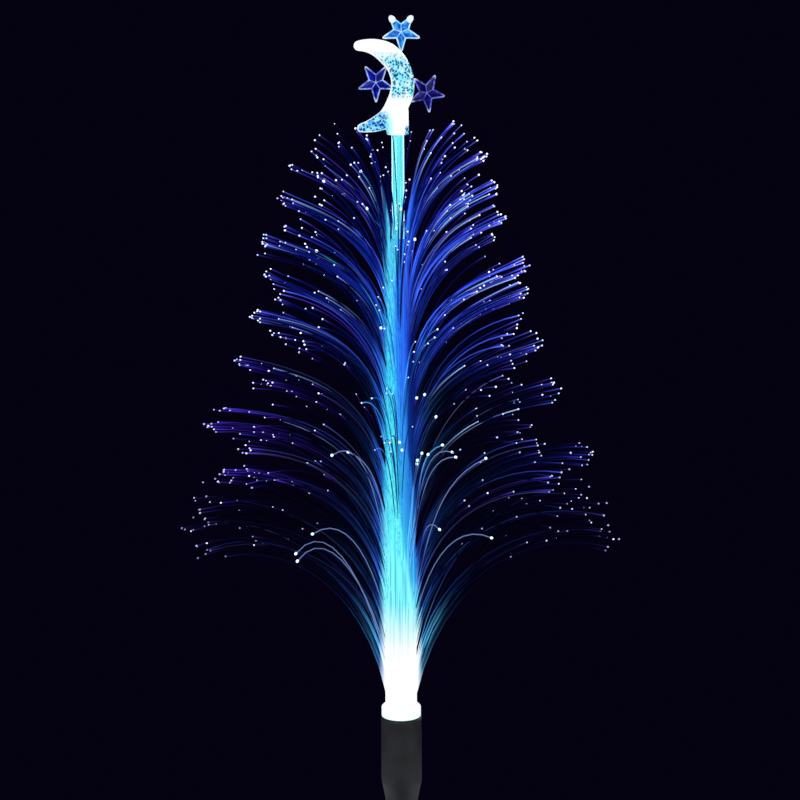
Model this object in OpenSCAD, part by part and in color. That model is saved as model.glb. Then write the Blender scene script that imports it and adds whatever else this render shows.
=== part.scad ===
// Solar stake light: a fibre-optic tree with a moon-and-stars topper, on a
// staked post that carries a solar box on a swing arm.
// Millimetres, +Z up, origin on the post's axis at the ground line.

/* [Ground spike] */
// Length of the spike below the ground line
spike_length = 150; // [100:5:220]
// Width across the spike's ribs at the ground line
spike_width = 24; // [18:1:34]
// Thickness of a spike rib
rib_thickness = 2.6; // [1.6:0.2:4]
// Diameter of the stop flange that rests on the soil
flange_d = 46; // [40:1:70]
// Thickness of the stop flange
flange_thickness = 4; // [2:0.5:8]
// Depth of the socket that takes the pole
socket_depth = 24; // [15:1:36]
// Wall of the socket
socket_wall = 3; // [2:0.5:5]

/* [Pole] */
// Outer diameter of the pole
pole_d = 16; // [14:0.5:20]
// Wall of the pole
pole_wall = 1.2; // [0.8:0.1:2]
// Length of the pole
pole_length = 146; // [140:1:260]
// Diameter of the grommet hole where the panel lead enters the pole
grommet_hole_d = 5.2; // [4:0.2:6]
// Distance from the lamp head's foot down to the grommet
grommet_drop = 20; // [12:1:24]

/* [Lamp head] */
// Outer diameter of the lamp head's barrel
barrel_d = 26; // [25:0.5:34]
// Wall of the barrel
barrel_wall = 2; // [1.6:0.1:2.4]
// Length of the neck over the pole
neck_depth = 18; // [12:1:26]
// Wall of the neck
neck_wall = 2.4; // [1.6:0.2:3]
// Thickness of the floor between the neck and the lamp chamber
head_floor = 4; // [2:0.5:6]
// Height of the wiring space under the circuit board of the lamp
wiring_space = 6; // [4:1:10]
// Thickness of both circuit boards
board_thickness = 1.6; // [1:0.2:2]
// Height of the light funnel
funnel_height = 22.4; // [14:0.2:30]
// Width of the square light source
led_width = 5; // [3:0.5:6]
// Height of the light source's body
led_height = 1.6; // [1:0.1:3]

/* [Collar] */
// Outer diameter of the collar that holds the fibre bundle
collar_d = 25; // [24:0.5:30]
// Height of the collar above the lamp head
collar_height = 8; // [5:0.5:14]
// Chamfer on the collar's top edge
collar_chamfer = 2; // [0.5:0.25:2.5]
// Length of the collar's spigot inside the barrel
spigot_length = 16; // [10:1:24]
// Thickness of the seal under the collar
seal_thickness = 1; // [0.5:0.1:2]

/* [Fibre tree] */
// Diameter of the fibre bundle where it leaves the collar
bundle_d = 19; // [16:0.5:19]
// Diameter of the bundle at the top tier
bundle_top_d = 11.6; // [11:0.2:14]
// Diameter of the clear light rod in the middle
rod_d = 7.5; // [6:0.25:8]
// Length of the light rod
rod_length = 398; // [385:1:440]
// Diameter of one optical fibre
fibre_d = 0.75; // [0.5:0.05:0.9]
// Number of tiers of fibres
tier_count = 10; // [6:1:10]
// Length of bare rod above the roots of the top tier
bare_rod = 96.5; // [85:0.5:110]
// Height above the collar at which the lowest tier leaves the bundle
first_leave = 12; // [6:0.5:16]
// Radius of the lowest tier's tips
bottom_reach = 140; // [110:1:160]
// Radius of the top tier's tips
top_reach = 60; // [40:1:70]
// Height that the lowest tier's fibres climb
bottom_rise = 96; // [80:1:120]
// Height that the top tier's fibres climb
top_rise = 78; // [60:1:95]
// Tufts of fibres round a tier
tier_tufts = 8; // [6:1:8]
// Fibres in a tuft
tuft_fibres = 4; // [3:1:4]
// Share by which the top tier reaches further to the left than to the right
crown_lop = 0.12; // [0:0.01:0.2]

/* [Topper] */
// Radius of the crescent's middle line
moon_r = 25.6; // [22:0.2:32]
// Width of the crescent at its middle
moon_width = 14.8; // [11:0.2:18]
// Width of the crescent's rounded tips
moon_tip_width = 5.6; // [4:0.2:8]
// Thickness of the crescent from front to back
moon_depth = 11; // [8:0.2:14]
// Outer diameter of the stem that grips the rod
stem_d = 13.6; // [12:0.2:16]
// Height of the stem
stem_height = 24; // [18:0.5:30]
// Depth of the stem's socket
stem_socket = 15; // [10:0.5:16]
// Radius of a star's points
star_r = 11.8; // [9:0.2:14]
// Radius of a star's inner corners
star_inner_r = 5.2; // [4:0.2:6.5]
// Thickness of a star at its centre
star_depth = 6; // [4:0.5:9]
// Thickness of a star's rim
star_rim = 1.8; // [1:0.2:3]

/* [Swing arm] */
// Height of the arm above the ground line
arm_z = 85; // [70:1:90]
// Distance from the pole's axis to the tilt hinge
arm_reach = 52; // [50:1:80]
// Width of the arm
arm_width = 9; // [7:0.5:12]
// Depth of the arm's beam
beam_depth = 8; // [6:0.5:9]
// Wall of the collar round the pole
sleeve_wall = 4; // [3:0.5:6]
// Height of the collar round the pole
sleeve_height = 18; // [14:1:22]
// Diameter of the hinge bolt and the clamp screw
bolt_d = 4; // [3:0.5:5]
// Diameter of the hand knobs
knob_d = 16; // [12:0.5:18]
// Length of a hand knob
knob_length = 11; // [8:0.5:15]

/* [Solar box] */
// Width and length of the solar box
box_width = 74; // [72:1:84]
// Depth of the rear shell
shell_depth = 19; // [19:0.5:26]
// Depth of the front frame
frame_depth = 4; // [3.6:0.2:6]
// Wall of the rear shell's sides
shell_wall = 2; // [1.6:0.2:2.4]
// Thickness of the rear shell's back
back_wall = 3; // [2:0.5:4]
// Corner radius of the solar box
box_corner = 8; // [6:0.5:10]
// Distance from the hinge axis to the back of the box
hinge_offset = 12; // [11.5:0.5:18]
// Tilt of the panel from level
panel_tilt = 40; // [20:1:60]
// Distance from the box's edge to the solar panel's edge
panel_margin = 7; // [6.5:0.5:12]
// Thickness of the solar panel
panel_thickness = 2; // [1.2:0.2:2.4]
// Thickness of the panel's gasket
gasket_thickness = 0.8; // [0.4:0.1:1]
// Width of the frame's lip over the panel's edge
lip_width = 3; // [2:0.5:5]
// Width of the hinge ears
ear_width = 5; // [4:0.5:7]

/* [Battery and switch] */
// Diameter of the battery
battery_d = 14.2; // [10:0.1:14.5]
// Length of the battery
battery_length = 50; // [44:0.5:51]
// Thickness of the battery contacts
contact_thickness = 0.5; // [0.3:0.1:0.8]
// Thickness of the battery cover
cover_thickness = 1.6; // [1.2:0.1:2.4]
// Thickness of the battery cover's seal
cover_seal_thickness = 0.6; // [0.4:0.1:1]
// Diameter of the power button
button_d = 7; // [5:0.5:9]
// Height that the power button stands out of the box
button_proud = 2.4; // [1.8:0.2:4]
// Travel of the power button
button_travel = 1.5; // [1:0.1:2]
// Diameter of the box's screws
screw_d = 2; // [1.6:0.1:2.2]

/* [Clearances] */
// Radial clearance of a turning fit
running_gap = 0.05; // [0.02:0.01:0.1]
// Gap between parts that slide past each other or are pushed together
slip_gap = 0.1; // [0.05:0.05:0.3]
// Gap kept in front of a pressed part
press_gap = 0.3; // [0.2:0.05:0.5]

/* [Hidden] */
$fn = 64;

function tier_name(i) = str("fibre_tier_", i < 10 ? "0" : "", i);

// Heights along the post
pole_top = flange_thickness + pole_length;
grommet_z = pole_top - neck_depth - grommet_drop;
chamber_z = pole_top + head_floor;
led_board_z = chamber_z + wiring_space;
funnel_z = led_board_z + board_thickness;
spigot_z = funnel_z + funnel_height;
barrel_top = spigot_z + spigot_length - seal_thickness;
collar_z = spigot_z + spigot_length;
tree_z = collar_z + collar_height;
lip_height = 1.5;
root_z = spigot_z + lip_height;
rod_top = root_z + rod_length;
tier_pitch = (rod_top - bare_rod - tree_z - first_leave) / max(tier_count - 1, 1);
stem_z = rod_top - stem_socket;

// Radii of the lamp head and the collar
neck_bore_r = pole_d / 2 + slip_gap;
neck_r = neck_bore_r + neck_wall;
barrel_r = barrel_d / 2;
chamber_r = barrel_r - barrel_wall;
insert_r = chamber_r - slip_gap;
bundle_bore_r = bundle_d / 2 + slip_gap;
flare_height = 12;
wire_hole_d = 6;

// Fibre strands: three-sided tubes on a few stations along each curve
strand_sides = 3;
stations = [0, 0.2, 0.42, 0.68, 1];
slice_sides = 12;
slice_r_factor = 1 / cos(180 / slice_sides);
root_sink = 1.2;
leave_angle = 10.5;
bottom_tip_angle = 102;
top_tip_angle = 60;
leave_pull = 0.48;
tip_pull = 0.33;

// Tufts: each fibre of one leaves higher than the last, climbs further and reaches less far
leave_step = first_leave / 3;
fan_step = 3.5;
reach_step = 0.06;
rise_step = 2;
tip_angle_step = 3;
tuft_sway = 9;
tier_turn = 137.5;

// The lowest tiers are gathered to the two sides and open to the front
open_tiers = 3;
open_front = 270;
open_half_angle = 22;
low_gather = 24;

// Crescent: where its middle line lies against the stem, and where it ends
moon_x = -0.828 * moon_r;
moon_lift = 1.152 * moon_r;
moon_start = 107;
moon_end = -104;
moon_drop = 1.14;
moon_rings = 22;
stem_turn = 75;
moon_sides = 14;

// Stars: centre across and height over the stem's foot, as shares of the crescent's radius, and turn
star_top_place = [0.094, 2.43, 0];
star_left_place = [-0.543, 1.242, 0];
star_right_place = [0.727, 0.992, 8];

// Swing arm and hinge
sleeve_bore_r = pole_d / 2 + running_gap;
sleeve_r = sleeve_bore_r + sleeve_wall;
bolt_r = bolt_d / 2;
turning_bore_r = bolt_r + running_gap;
ear_r = 5.5;
ear_start = arm_width / 2 + press_gap / 2;
ear_end = ear_start + ear_width;
bolt_head_d = bolt_d * 1.9;
bolt_head_height = bolt_d * 0.7;
knob_flutes = 8;
flute_d = 4;
clamp_boss_d = 11;
clamp_boss_end = sleeve_r + 3;

// Solar box levels along the panel's normal, from the hinge axis
back_w = hinge_offset;
floor_w = back_w + back_wall;
part_w = back_w + shell_depth;
front_w = part_w + frame_depth;
box_half = box_width / 2;
panel_width = box_width - 2 * panel_margin;
screw_inset = 4.8;
screw_at = box_half - screw_inset;
screw_r = screw_d / 2;
screw_hole_r = screw_r + slip_gap;
screw_head_r = screw_d * 1.05;
screw_head_height = 1.2;
post_r = screw_hole_r + 1.5;
frame_bite = frame_depth - 1.2;
pocket_depth = panel_thickness + gasket_thickness;
pocket_half = panel_width / 2 + slip_gap;
window_half = panel_width / 2 - lip_width;
ledge_length = 10;
ledge_height = 4;

// Battery bay on the lower half, circuit board on the upper half
bay_v = -18;
board_v = 18;
bay_half_length = battery_length / 2 + 1;
bay_half_width = battery_d / 2 + 0.9;
battery_w = floor_w + 0.6 + battery_d / 2;
contact_u = battery_length / 2 + slip_gap;
contact_size = battery_d - 4;
rib_u = contact_u + contact_thickness + slip_gap;
rib_length = 2;
cover_end_margin = 7;
cover_side_margin = 3;
cover_half_length = bay_half_length + cover_end_margin;
cover_half_width = bay_half_width + cover_side_margin;
cover_screw_u = bay_half_length + cover_end_margin / 2;
cover_corner = 3;
saddle_u = 15;
saddle_width = 3;
saddle_height = 4;
board_length = 44;
board_width = 24;
board_w = floor_w + 6;
board_screw_u = 17;
board_post_r = 3;
button_u = 8;
button_r = button_d / 2;
button_flange = 1;
button_flange_extra = 1;
button_inner_w = floor_w + slip_gap;
switch_w = button_inner_w + button_flange + button_travel + press_gap;
switch_size = 8;
gland_u = -24;
gland_shank_r = 3;
gland_bore_r = 1.5;
gland_hex_d = 11;
gland_hex_height = 4;
gland_nose_r = 3.8;
gland_nose_height = 4;

// A plate with rounded corners, centred on the origin, standing on the plane
module rounded_plate(width, length, height, corner) {
    linear_extrude(height)
        offset(r = corner, $fn = 32)
            square([width - 2 * corner, length - 2 * corner], center = true);
}

// A flat ring with rounded corners
module rounded_ring(width, length, height, corner, rim) {
    difference() {
        rounded_plate(width, length, height, corner);
        translate([0, 0, -height])
            rounded_plate(width - 2 * rim, length - 2 * rim, 3 * height, max(corner - rim, 0.4));
    }
}

// A round ring between two radii
module ring(outer_r, inner_r, height) {
    difference() {
        cylinder(h = height, r = outer_r);
        translate([0, 0, -height])
            cylinder(h = 3 * height, r = inner_r);
    }
}

// The solar box's own frame: X across, Y up the slope, Z out of the panel
module on_panel() {
    translate([0, -arm_reach, arm_z])
        rotate([panel_tilt, 0, 0])
            children();
}

// Copies at the four corners of the solar box
module at_corners() {
    for (u = [-1, 1], v = [-1, 1])
        translate([u * screw_at, v * screw_at, 0])
            children();
}

// A screw standing head down on its seat, with its shank going up
module screw(length) {
    cylinder(h = length, r = screw_r);
    translate([0, 0, -screw_head_height])
        difference() {
            cylinder(h = screw_head_height, r = screw_head_r);
            for (turn = [0, 90])
                rotate(turn)
                    translate([0, 0, screw_head_height / 4])
                        cube([screw_head_r * 1.3, screw_d / 4, screw_head_height / 2], center = true);
        }
}

// A fluted hand knob standing on the plane
module knob() {
    difference() {
        union() {
            cylinder(h = knob_length - 1, r = knob_d / 2);
            translate([0, 0, knob_length - 1])
                cylinder(h = 1, r1 = knob_d / 2, r2 = knob_d / 2 - 1);
        }
        for (turn = [0:360 / knob_flutes:359])
            rotate(turn)
                translate([knob_d / 2 + flute_d / 4, 0, 2])
                    cylinder(h = knob_length, d = flute_d);
    }
}

// One rib plate of the spike, from the ground line down to the tip
module spike_rib() {
    rotate([90, 0, 0])
        linear_extrude(rib_thickness, center = true)
            polygon([[-spike_width / 2, 0], [spike_width / 2, 0],
                     [spike_width / 2 - 3, -spike_length * 0.55], [0, -spike_length],
                     [-spike_width / 2 + 3, -spike_length * 0.55]]);
}

module ground_spike() {
    color("#1b1b1d") {
        difference() {
            union() {
                spike_rib();
                rotate(90)
                    spike_rib();
                cylinder(h = flange_thickness, d = flange_d);
                cylinder(h = flange_thickness + socket_depth, r = neck_bore_r + socket_wall);
            }
            translate([0, 0, flange_thickness])
                cylinder(h = socket_depth + 1, r = neck_bore_r);
        }
    }
}

module pole() {
    color("#222326")
        translate([0, 0, flange_thickness])
            difference() {
                cylinder(h = pole_length, d = pole_d);
                translate([0, 0, -1])
                    cylinder(h = pole_length + 2, r = pole_d / 2 - pole_wall);
                translate([0, 0, grommet_z - flange_thickness])
                    rotate([-90, 0, 0])
                        cylinder(h = pole_d, d = grommet_hole_d);
            }
}

module pole_grommet() {
    flange_r = grommet_hole_d / 2 + 1.6;
    proud = 1.6;
    color("#101012")
        translate([0, 0, grommet_z])
            rotate([-90, 0, 0])
                difference() {
                    union() {
                        translate([0, 0, pole_d / 2 - pole_wall - 1])
                            cylinder(h = pole_wall + 1 + proud, r = grommet_hole_d / 2 - running_gap);
                        difference() {
                            translate([0, 0, pole_d / 2 - 2])
                                cylinder(h = 2 + proud, r = flange_r);
                            rotate([90, 0, 0])
                                cylinder(h = pole_d, r = pole_d / 2 + running_gap, center = true);
                        }
                    }
                    cylinder(h = pole_d, r = grommet_hole_d / 2 - 1.1);
                }
}

module lamp_head() {
    neck_z = pole_top - neck_depth;
    flare_z = pole_top - neck_depth / 4;
    color("#1d1e20")
        difference() {
            rotate_extrude()
                polygon([[0, neck_z], [neck_r - 0.6, neck_z], [neck_r, neck_z + 0.6], [neck_r, flare_z],
                         [barrel_r, flare_z + flare_height], [barrel_r, barrel_top], [0, barrel_top]]);
            translate([0, 0, neck_z - 1])
                cylinder(h = neck_depth + 1, r = neck_bore_r);
            translate([0, 0, pole_top - 1])
                cylinder(h = head_floor + 2, d = wire_hole_d);
            translate([0, 0, chamber_z])
                cylinder(h = wiring_space + 1, r = chamber_r - 1.5);
            translate([0, 0, led_board_z])
                cylinder(h = barrel_top - led_board_z + 1, r = chamber_r);
        }
}

module led_board() {
    color("#e8e8e4")
        translate([0, 0, led_board_z])
            cylinder(h = board_thickness, r = insert_r);
}

module led() {
    color("#fff3b0")
        translate([0, 0, funnel_z]) {
            translate([-led_width / 2, -led_width / 2, 0])
                cube([led_width, led_width, led_height]);
            translate([0, 0, led_height])
                intersection() {
                    sphere(r = led_width * 0.42);
                    translate([-led_width, -led_width, -0.2])
                        cube(2 * led_width);
                }
        }
}

module light_funnel() {
    mouth_r = bundle_d / 2 - 1;
    throat_r = led_width * 0.8;
    color("#f4f6f8")
        translate([0, 0, funnel_z])
            difference() {
                cylinder(h = funnel_height, r = insert_r);
                translate([0, 0, -0.01])
                    cylinder(h = funnel_height + 0.02, r1 = throat_r, r2 = mouth_r);
            }
}

module head_seal() {
    color("#0e0e10")
        translate([0, 0, barrel_top])
            ring(collar_d / 2, chamber_r, seal_thickness);
}

module collar() {
    r = collar_d / 2;
    color("#eafcff")
        difference() {
            rotate_extrude()
                polygon([[0, spigot_z], [insert_r, spigot_z], [insert_r, collar_z], [r, collar_z],
                         [r, tree_z - collar_chamfer], [r - collar_chamfer, tree_z], [0, tree_z]]);
            translate([0, 0, root_z])
                cylinder(h = spigot_length + collar_height, r = bundle_bore_r);
            translate([0, 0, spigot_z - 1])
                cylinder(h = spigot_length, r = bundle_d / 2 - 1);
        }
}

module fibre_root() {
    color("#d8fbff")
        translate([0, 0, root_z])
            ring(bundle_d / 2, rod_d / 2 + running_gap, tree_z - root_z);
}

module light_rod() {
    color("#9ff6ff")
        translate([0, 0, root_z])
            cylinder(h = rod_length, d = rod_d);
}

// Values that run from the lowest tier to the top tier
function tier_share(i) = tier_count > 1 ? (i - 1) / (tier_count - 1) : 0;
function blend(low, high, i) = low + (high - low) * tier_share(i);
function leave_z(i) = tree_z + first_leave + (i - 1) * tier_pitch;
function slice_bottom(i) = i == 1 ? tree_z : leave_z(i) - first_leave;
function slice_top(i) = i == tier_count ? leave_z(i) + first_leave : slice_bottom(i + 1);
function slice_r(i) = blend(bundle_d, bundle_top_d, i) / 2;
function low_share(i) = max(0, 1 - (i - 1) / open_tiers);
function tuft_turn(i, j) =
    let (even = 360 * j / tier_tufts)
    even - low_gather * low_share(i) * sin(2 * even) + tuft_sway * sin(tier_turn * i);
function tuft_grows(i, j) = i > open_tiers || abs(360 * j / tier_tufts - open_front) > open_half_angle;

// A cubic curve through four points, and its direction
function curve_point(p, t) =
    pow(1 - t, 3) * p[0] + 3 * pow(1 - t, 2) * t * p[1] + 3 * (1 - t) * t * t * p[2] + pow(t, 3) * p[3];
function curve_way(p, t) =
    pow(1 - t, 2) * (p[1] - p[0]) + 2 * (1 - t) * t * (p[2] - p[1]) + t * t * (p[3] - p[2]);

// The four points of a strand's curve, as radius and height
function strand_curve(i, j, k) =
    let (layer = k - (tuft_fibres - 1) / 2,
         root = [slice_r(i) - root_sink, leave_z(i) + leave_step * layer],
         side = 1 - crown_lop * tier_share(i) * cos(tuft_turn(i, j)),
         reach = blend(bottom_reach, top_reach, i) * side * (1 - reach_step * k),
         rise = blend(bottom_rise, top_rise, i) + rise_step * layer,
         tip = [reach, root[1] + rise],
         span = norm(tip - root),
         tip_angle = blend(bottom_tip_angle, top_tip_angle, i) - tip_angle_step * k)
    [root,
     root + leave_pull * span * [sin(leave_angle), cos(leave_angle)],
     tip - tip_pull * span * [sin(tip_angle), cos(tip_angle)],
     tip];

// The corners of a strand's section at one station, in the plane that holds the axis
function strand_ring(p, t) =
    let (at = curve_point(p, t), way = curve_way(p, t) / norm(curve_way(p, t)))
    [for (k = [0:strand_sides - 1])
        let (a = 360 * k / strand_sides)
        [at[0] + fibre_d / 2 * cos(a) * way[1], fibre_d / 2 * sin(a), at[1] - fibre_d / 2 * cos(a) * way[0]]];

module strand(i, j, k) {
    p = strand_curve(i, j, k);
    n = strand_sides;
    last = len(stations) - 1;
    points = [for (t = stations) each strand_ring(p, t)];
    walls = [for (s = [0:last - 1], k = [0:n - 1])
        let (a = s * n + k, b = s * n + (k + 1) % n)
        each [[a, a + n, b], [b, a + n, b + n]]];
    foot = [for (k = [1:n - 2]) [0, k, k + 1]];
    tip = [for (k = [1:n - 2]) [last * n, last * n + k + 1, last * n + k]];
    polyhedron(points = points, faces = concat(walls, foot, tip), convexity = 4);
}

// A slice of the bundle with the tufts that leave it
module fibre_tier(i) {
    color("#2a5cff")
        union() {
            translate([0, 0, slice_bottom(i)])
                difference() {
                    cylinder(h = slice_top(i) - slice_bottom(i), r = slice_r(i), $fn = slice_sides);
                    translate([0, 0, -1])
                        cylinder(h = slice_top(i) - slice_bottom(i) + 2,
                                 r = (rod_d / 2 + slip_gap) * slice_r_factor, $fn = slice_sides);
                }
            for (j = [0:tier_tufts - 1], k = [0:tuft_fibres - 1])
                if (tuft_grows(i, j))
                    rotate(tuft_turn(i, j) + fan_step * (k - (tuft_fibres - 1) / 2))
                        strand(i, j, k);
        }
}

// Half the crescent's width along its middle line, drawn in to a round at both tips
function moon_half_width(a) =
    let (full = moon_tip_width + (moon_width - moon_tip_width) * pow(cos(a * 0.8), 0.9),
         end_gap = min(moon_start - a, a - moon_end) * PI / 180 * moon_r,
         round_r = moon_tip_width / 2)
    full / 2 * (end_gap >= round_r ? 1 : sqrt(max(0, 1 - pow(1 - end_gap / round_r, 2))));

function moon_angle(k) =
    let (s = k / moon_rings, eased = s - sin(360 * s) / (2 * PI) * 0.75)
    moon_start + (moon_end - moon_start) * eased;

function moon_ring(k) =
    let (a = moon_angle(k), half = moon_half_width(a), deep = half * moon_depth / moon_width)
    [for (j = [0:moon_sides - 1])
        let (b = 360 * (j + 0.5) / moon_sides, r = moon_r + half * cos(b))
        [r * cos(a), -deep * sin(b), moon_height(r, a)]];

function moon_height(r, a) = r * sin(a) * (a < 0 ? moon_drop : 1);
function moon_tip(a) = [moon_r * cos(a), 0, moon_height(moon_r, a)];

module crescent() {
    n = moon_sides;
    last = moon_rings - 2;
    points = concat([for (k = [1:moon_rings - 1]) each moon_ring(k)], [moon_tip(moon_start), moon_tip(moon_end)]);
    head = len(points) - 2;
    tail = len(points) - 1;
    walls = [for (s = [0:last - 1], k = [0:n - 1])
        let (a = s * n + k, b = s * n + (k + 1) % n)
        each [[a, a + n, b], [b, a + n, b + n]]];
    first_cap = [for (k = [0:n - 1]) [head, k, (k + 1) % n]];
    last_cap = [for (k = [0:n - 1]) [tail, last * n + (k + 1) % n, last * n + k]];
    polyhedron(points = points, faces = concat(walls, first_cap, last_cap), convexity = 6);
}

module moon() {
    color("#e6fbff")
        translate([0, 0, stem_z])
            difference() {
                union() {
                    translate([moon_x, 0, moon_lift])
                        crescent();
                    rotate(stem_turn)
                        cylinder(h = stem_height, d = stem_d);
                }
                rotate(stem_turn)
                    translate([0, 0, -1])
                        cylinder(h = stem_socket + 1, r = rod_d / 2 + running_gap);
            }
}

// A five-pointed star, point down, with ridges that meet at its centre on both faces
module star(place) {
    outline = [for (k = [0:9])
        let (a = 90 + 36 * k, r = k % 2 == 1 ? star_r : star_inner_r)
        [r * cos(a), r * sin(a)]];
    points = concat([for (p = outline) [p[0], -star_rim / 2, p[1]]],
                    [for (p = outline) [p[0], star_rim / 2, p[1]]],
                    [[0, -star_depth / 2, 0], [0, star_depth / 2, 0]]);
    faces = [for (k = [0:9])
        let (m = (k + 1) % 10)
        each [[20, m, k], [21, 10 + k, 10 + m], [k, m, 10 + k], [m, 10 + m, 10 + k]]];
    color("#bfe8ff")
        translate([place[0] * moon_r, 0, stem_z + place[1] * moon_r])
            rotate([0, -place[2], 0])
                polyhedron(points = points, faces = faces, convexity = 4);
}

module star_top() {
    star(star_top_place);
}

module star_left() {
    star(star_left_place);
}

module star_right() {
    star(star_right_place);
}

module swing_arm() {
    color("#202124")
        translate([0, 0, arm_z])
            difference() {
                union() {
                    cylinder(h = sleeve_height, r = sleeve_r, center = true);
                    translate([-arm_width / 2, -arm_reach, -beam_depth / 2])
                        cube([arm_width, arm_reach, beam_depth]);
                    translate([-arm_width / 2, -arm_reach, 0])
                        rotate([0, 90, 0])
                            cylinder(h = arm_width, r = ear_r);
                    rotate([-90, 0, 0])
                        cylinder(h = clamp_boss_end, d = clamp_boss_d);
                }
                cylinder(h = sleeve_height + 2, r = sleeve_bore_r, center = true);
                translate([-arm_width, -arm_reach, 0])
                    rotate([0, 90, 0])
                        cylinder(h = 2 * arm_width, r = turning_bore_r);
                rotate([-90, 0, 0])
                    cylinder(h = clamp_boss_end + 1, r = turning_bore_r);
            }
}

module clamp_knob() {
    color("#17181a")
        translate([0, 0, arm_z])
            rotate([-90, 0, 0]) {
                translate([0, 0, clamp_boss_end + press_gap])
                    knob();
                translate([0, 0, pole_d / 2 + press_gap])
                    cylinder(h = clamp_boss_end - pole_d / 2 + 1, r = bolt_r);
            }
}

module hinge_ear(side) {
    translate([side > 0 ? ear_start : -ear_end, 0, 0]) {
        rotate([0, 90, 0])
            cylinder(h = ear_width, r = ear_r);
        translate([0, -ear_r, 0])
            cube([ear_width, 2 * ear_r, back_w + 1]);
    }
}

module rear_shell() {
    color("#1a1b1e")
        on_panel()
            difference() {
                union() {
                    difference() {
                        translate([0, 0, back_w])
                            rounded_plate(box_width, box_width, shell_depth, box_corner);
                        translate([0, 0, floor_w])
                            rounded_plate(box_width - 2 * shell_wall, box_width - 2 * shell_wall,
                                          shell_depth, box_corner - shell_wall);
                    }
                    at_corners()
                        translate([0, 0, floor_w - 0.5])
                            cylinder(h = part_w - floor_w + 0.5, r = post_r);
                    for (turn = [0:90:270])
                        rotate(turn)
                            translate([panel_width / 2 - lip_width, -ledge_length / 2, part_w - ledge_height])
                                cube([box_half - shell_wall / 2 - panel_width / 2 + lip_width,
                                      ledge_length, ledge_height]);
                    for (u = [-board_screw_u, board_screw_u])
                        translate([u, board_v, floor_w - 0.5])
                            cylinder(h = board_w - floor_w + 0.5, r = board_post_r);
                    for (side = [-1, 1]) {
                        translate([side > 0 ? rib_u : -rib_u - rib_length, bay_v - contact_size / 2, floor_w - 0.5])
                            cube([rib_length, contact_size, battery_w + contact_size / 2 - floor_w + 0.5]);
                        translate([side * cover_screw_u, bay_v, floor_w - 0.5])
                            cylinder(h = 5.5, r = post_r);
                        hinge_ear(side);
                    }
                }
                at_corners() {
                    translate([0, 0, back_w - 1])
                        cylinder(h = shell_depth + 2, r = screw_hole_r);
                    translate([0, 0, back_w - 1])
                        cylinder(h = 1 + screw_head_height + 0.3, r = screw_head_r + slip_gap);
                }
                translate([-2 * ear_end, 0, 0])
                    rotate([0, 90, 0])
                        cylinder(h = 4 * ear_end, r = bolt_r + slip_gap);
                translate([-bay_half_length, bay_v - bay_half_width, back_w - 1])
                    cube([2 * bay_half_length, 2 * bay_half_width, back_wall + 2]);
                for (side = [-1, 1])
                    translate([side * cover_screw_u, bay_v, back_w - 1])
                        cylinder(h = back_wall + 4, r = screw_hole_r);
                for (u = [-board_screw_u, board_screw_u])
                    translate([u, board_v, board_w - 4])
                        cylinder(h = 5, r = screw_hole_r);
                translate([button_u, board_v, back_w - 1])
                    cylinder(h = back_wall + 2, r = button_r + slip_gap);
                translate([gland_u, board_v, back_w - 1])
                    cylinder(h = back_wall + 2, r = gland_shank_r + slip_gap);
            }
}

module front_frame() {
    color("#1e1f22")
        on_panel()
            difference() {
                translate([0, 0, part_w])
                    rounded_plate(box_width, box_width, frame_depth, box_corner);
                translate([-pocket_half, -pocket_half, part_w - 1])
                    cube([2 * pocket_half, 2 * pocket_half, pocket_depth + 1]);
                translate([-window_half, -window_half, part_w])
                    cube([2 * window_half, 2 * window_half, frame_depth + 1]);
                at_corners()
                    translate([0, 0, part_w - 1])
                        cylinder(h = frame_bite + 1, r = screw_hole_r);
            }
}

module solar_panel() {
    color("#16264a")
        on_panel()
            translate([-panel_width / 2, -panel_width / 2, part_w])
                cube([panel_width, panel_width, panel_thickness]);
}

module panel_gasket() {
    color("#0d0d0e")
        on_panel()
            translate([0, 0, part_w + panel_thickness])
                difference() {
                    translate([-panel_width / 2, -panel_width / 2, 0])
                        cube([panel_width, panel_width, gasket_thickness]);
                    translate([-window_half, -window_half, -1])
                        cube([2 * window_half, 2 * window_half, gasket_thickness + 2]);
                }
}

module housing_screws() {
    color("#b9bcc2")
        on_panel()
            at_corners()
                translate([0, 0, back_w + screw_head_height + 0.3])
                    screw(shell_depth - screw_head_height - 0.3 + frame_bite - 0.5);
}

module circuit_board() {
    color("#1d6b3a")
        on_panel()
            translate([0, board_v, board_w])
                difference() {
                    translate([-board_length / 2, -board_width / 2, 0])
                        cube([board_length, board_width, board_thickness]);
                    for (u = [-board_screw_u, board_screw_u])
                        translate([u, 0, -1])
                            cylinder(h = board_thickness + 2, r = screw_hole_r);
                }
}

module board_screws() {
    color("#b9bcc2")
        on_panel()
            for (u = [-board_screw_u, board_screw_u])
                translate([u, board_v, board_w + board_thickness])
                    rotate([180, 0, 0])
                        screw(board_thickness + 3.5);
}

module battery() {
    nub_length = 1;
    color("#2f7d4f")
        on_panel()
            translate([-battery_length / 2, bay_v, battery_w])
                rotate([0, 90, 0]) {
                    cylinder(h = battery_length - nub_length, d = battery_d);
                    cylinder(h = battery_length, d = battery_d * 0.38);
                }
}

module battery_contacts() {
    color("#c9ccd2")
        on_panel()
            for (side = [-1, 1])
                translate([side > 0 ? contact_u : -contact_u - contact_thickness,
                           bay_v - contact_size / 2, battery_w - contact_size / 2])
                    cube([contact_thickness, contact_size, contact_size]);
}

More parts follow.
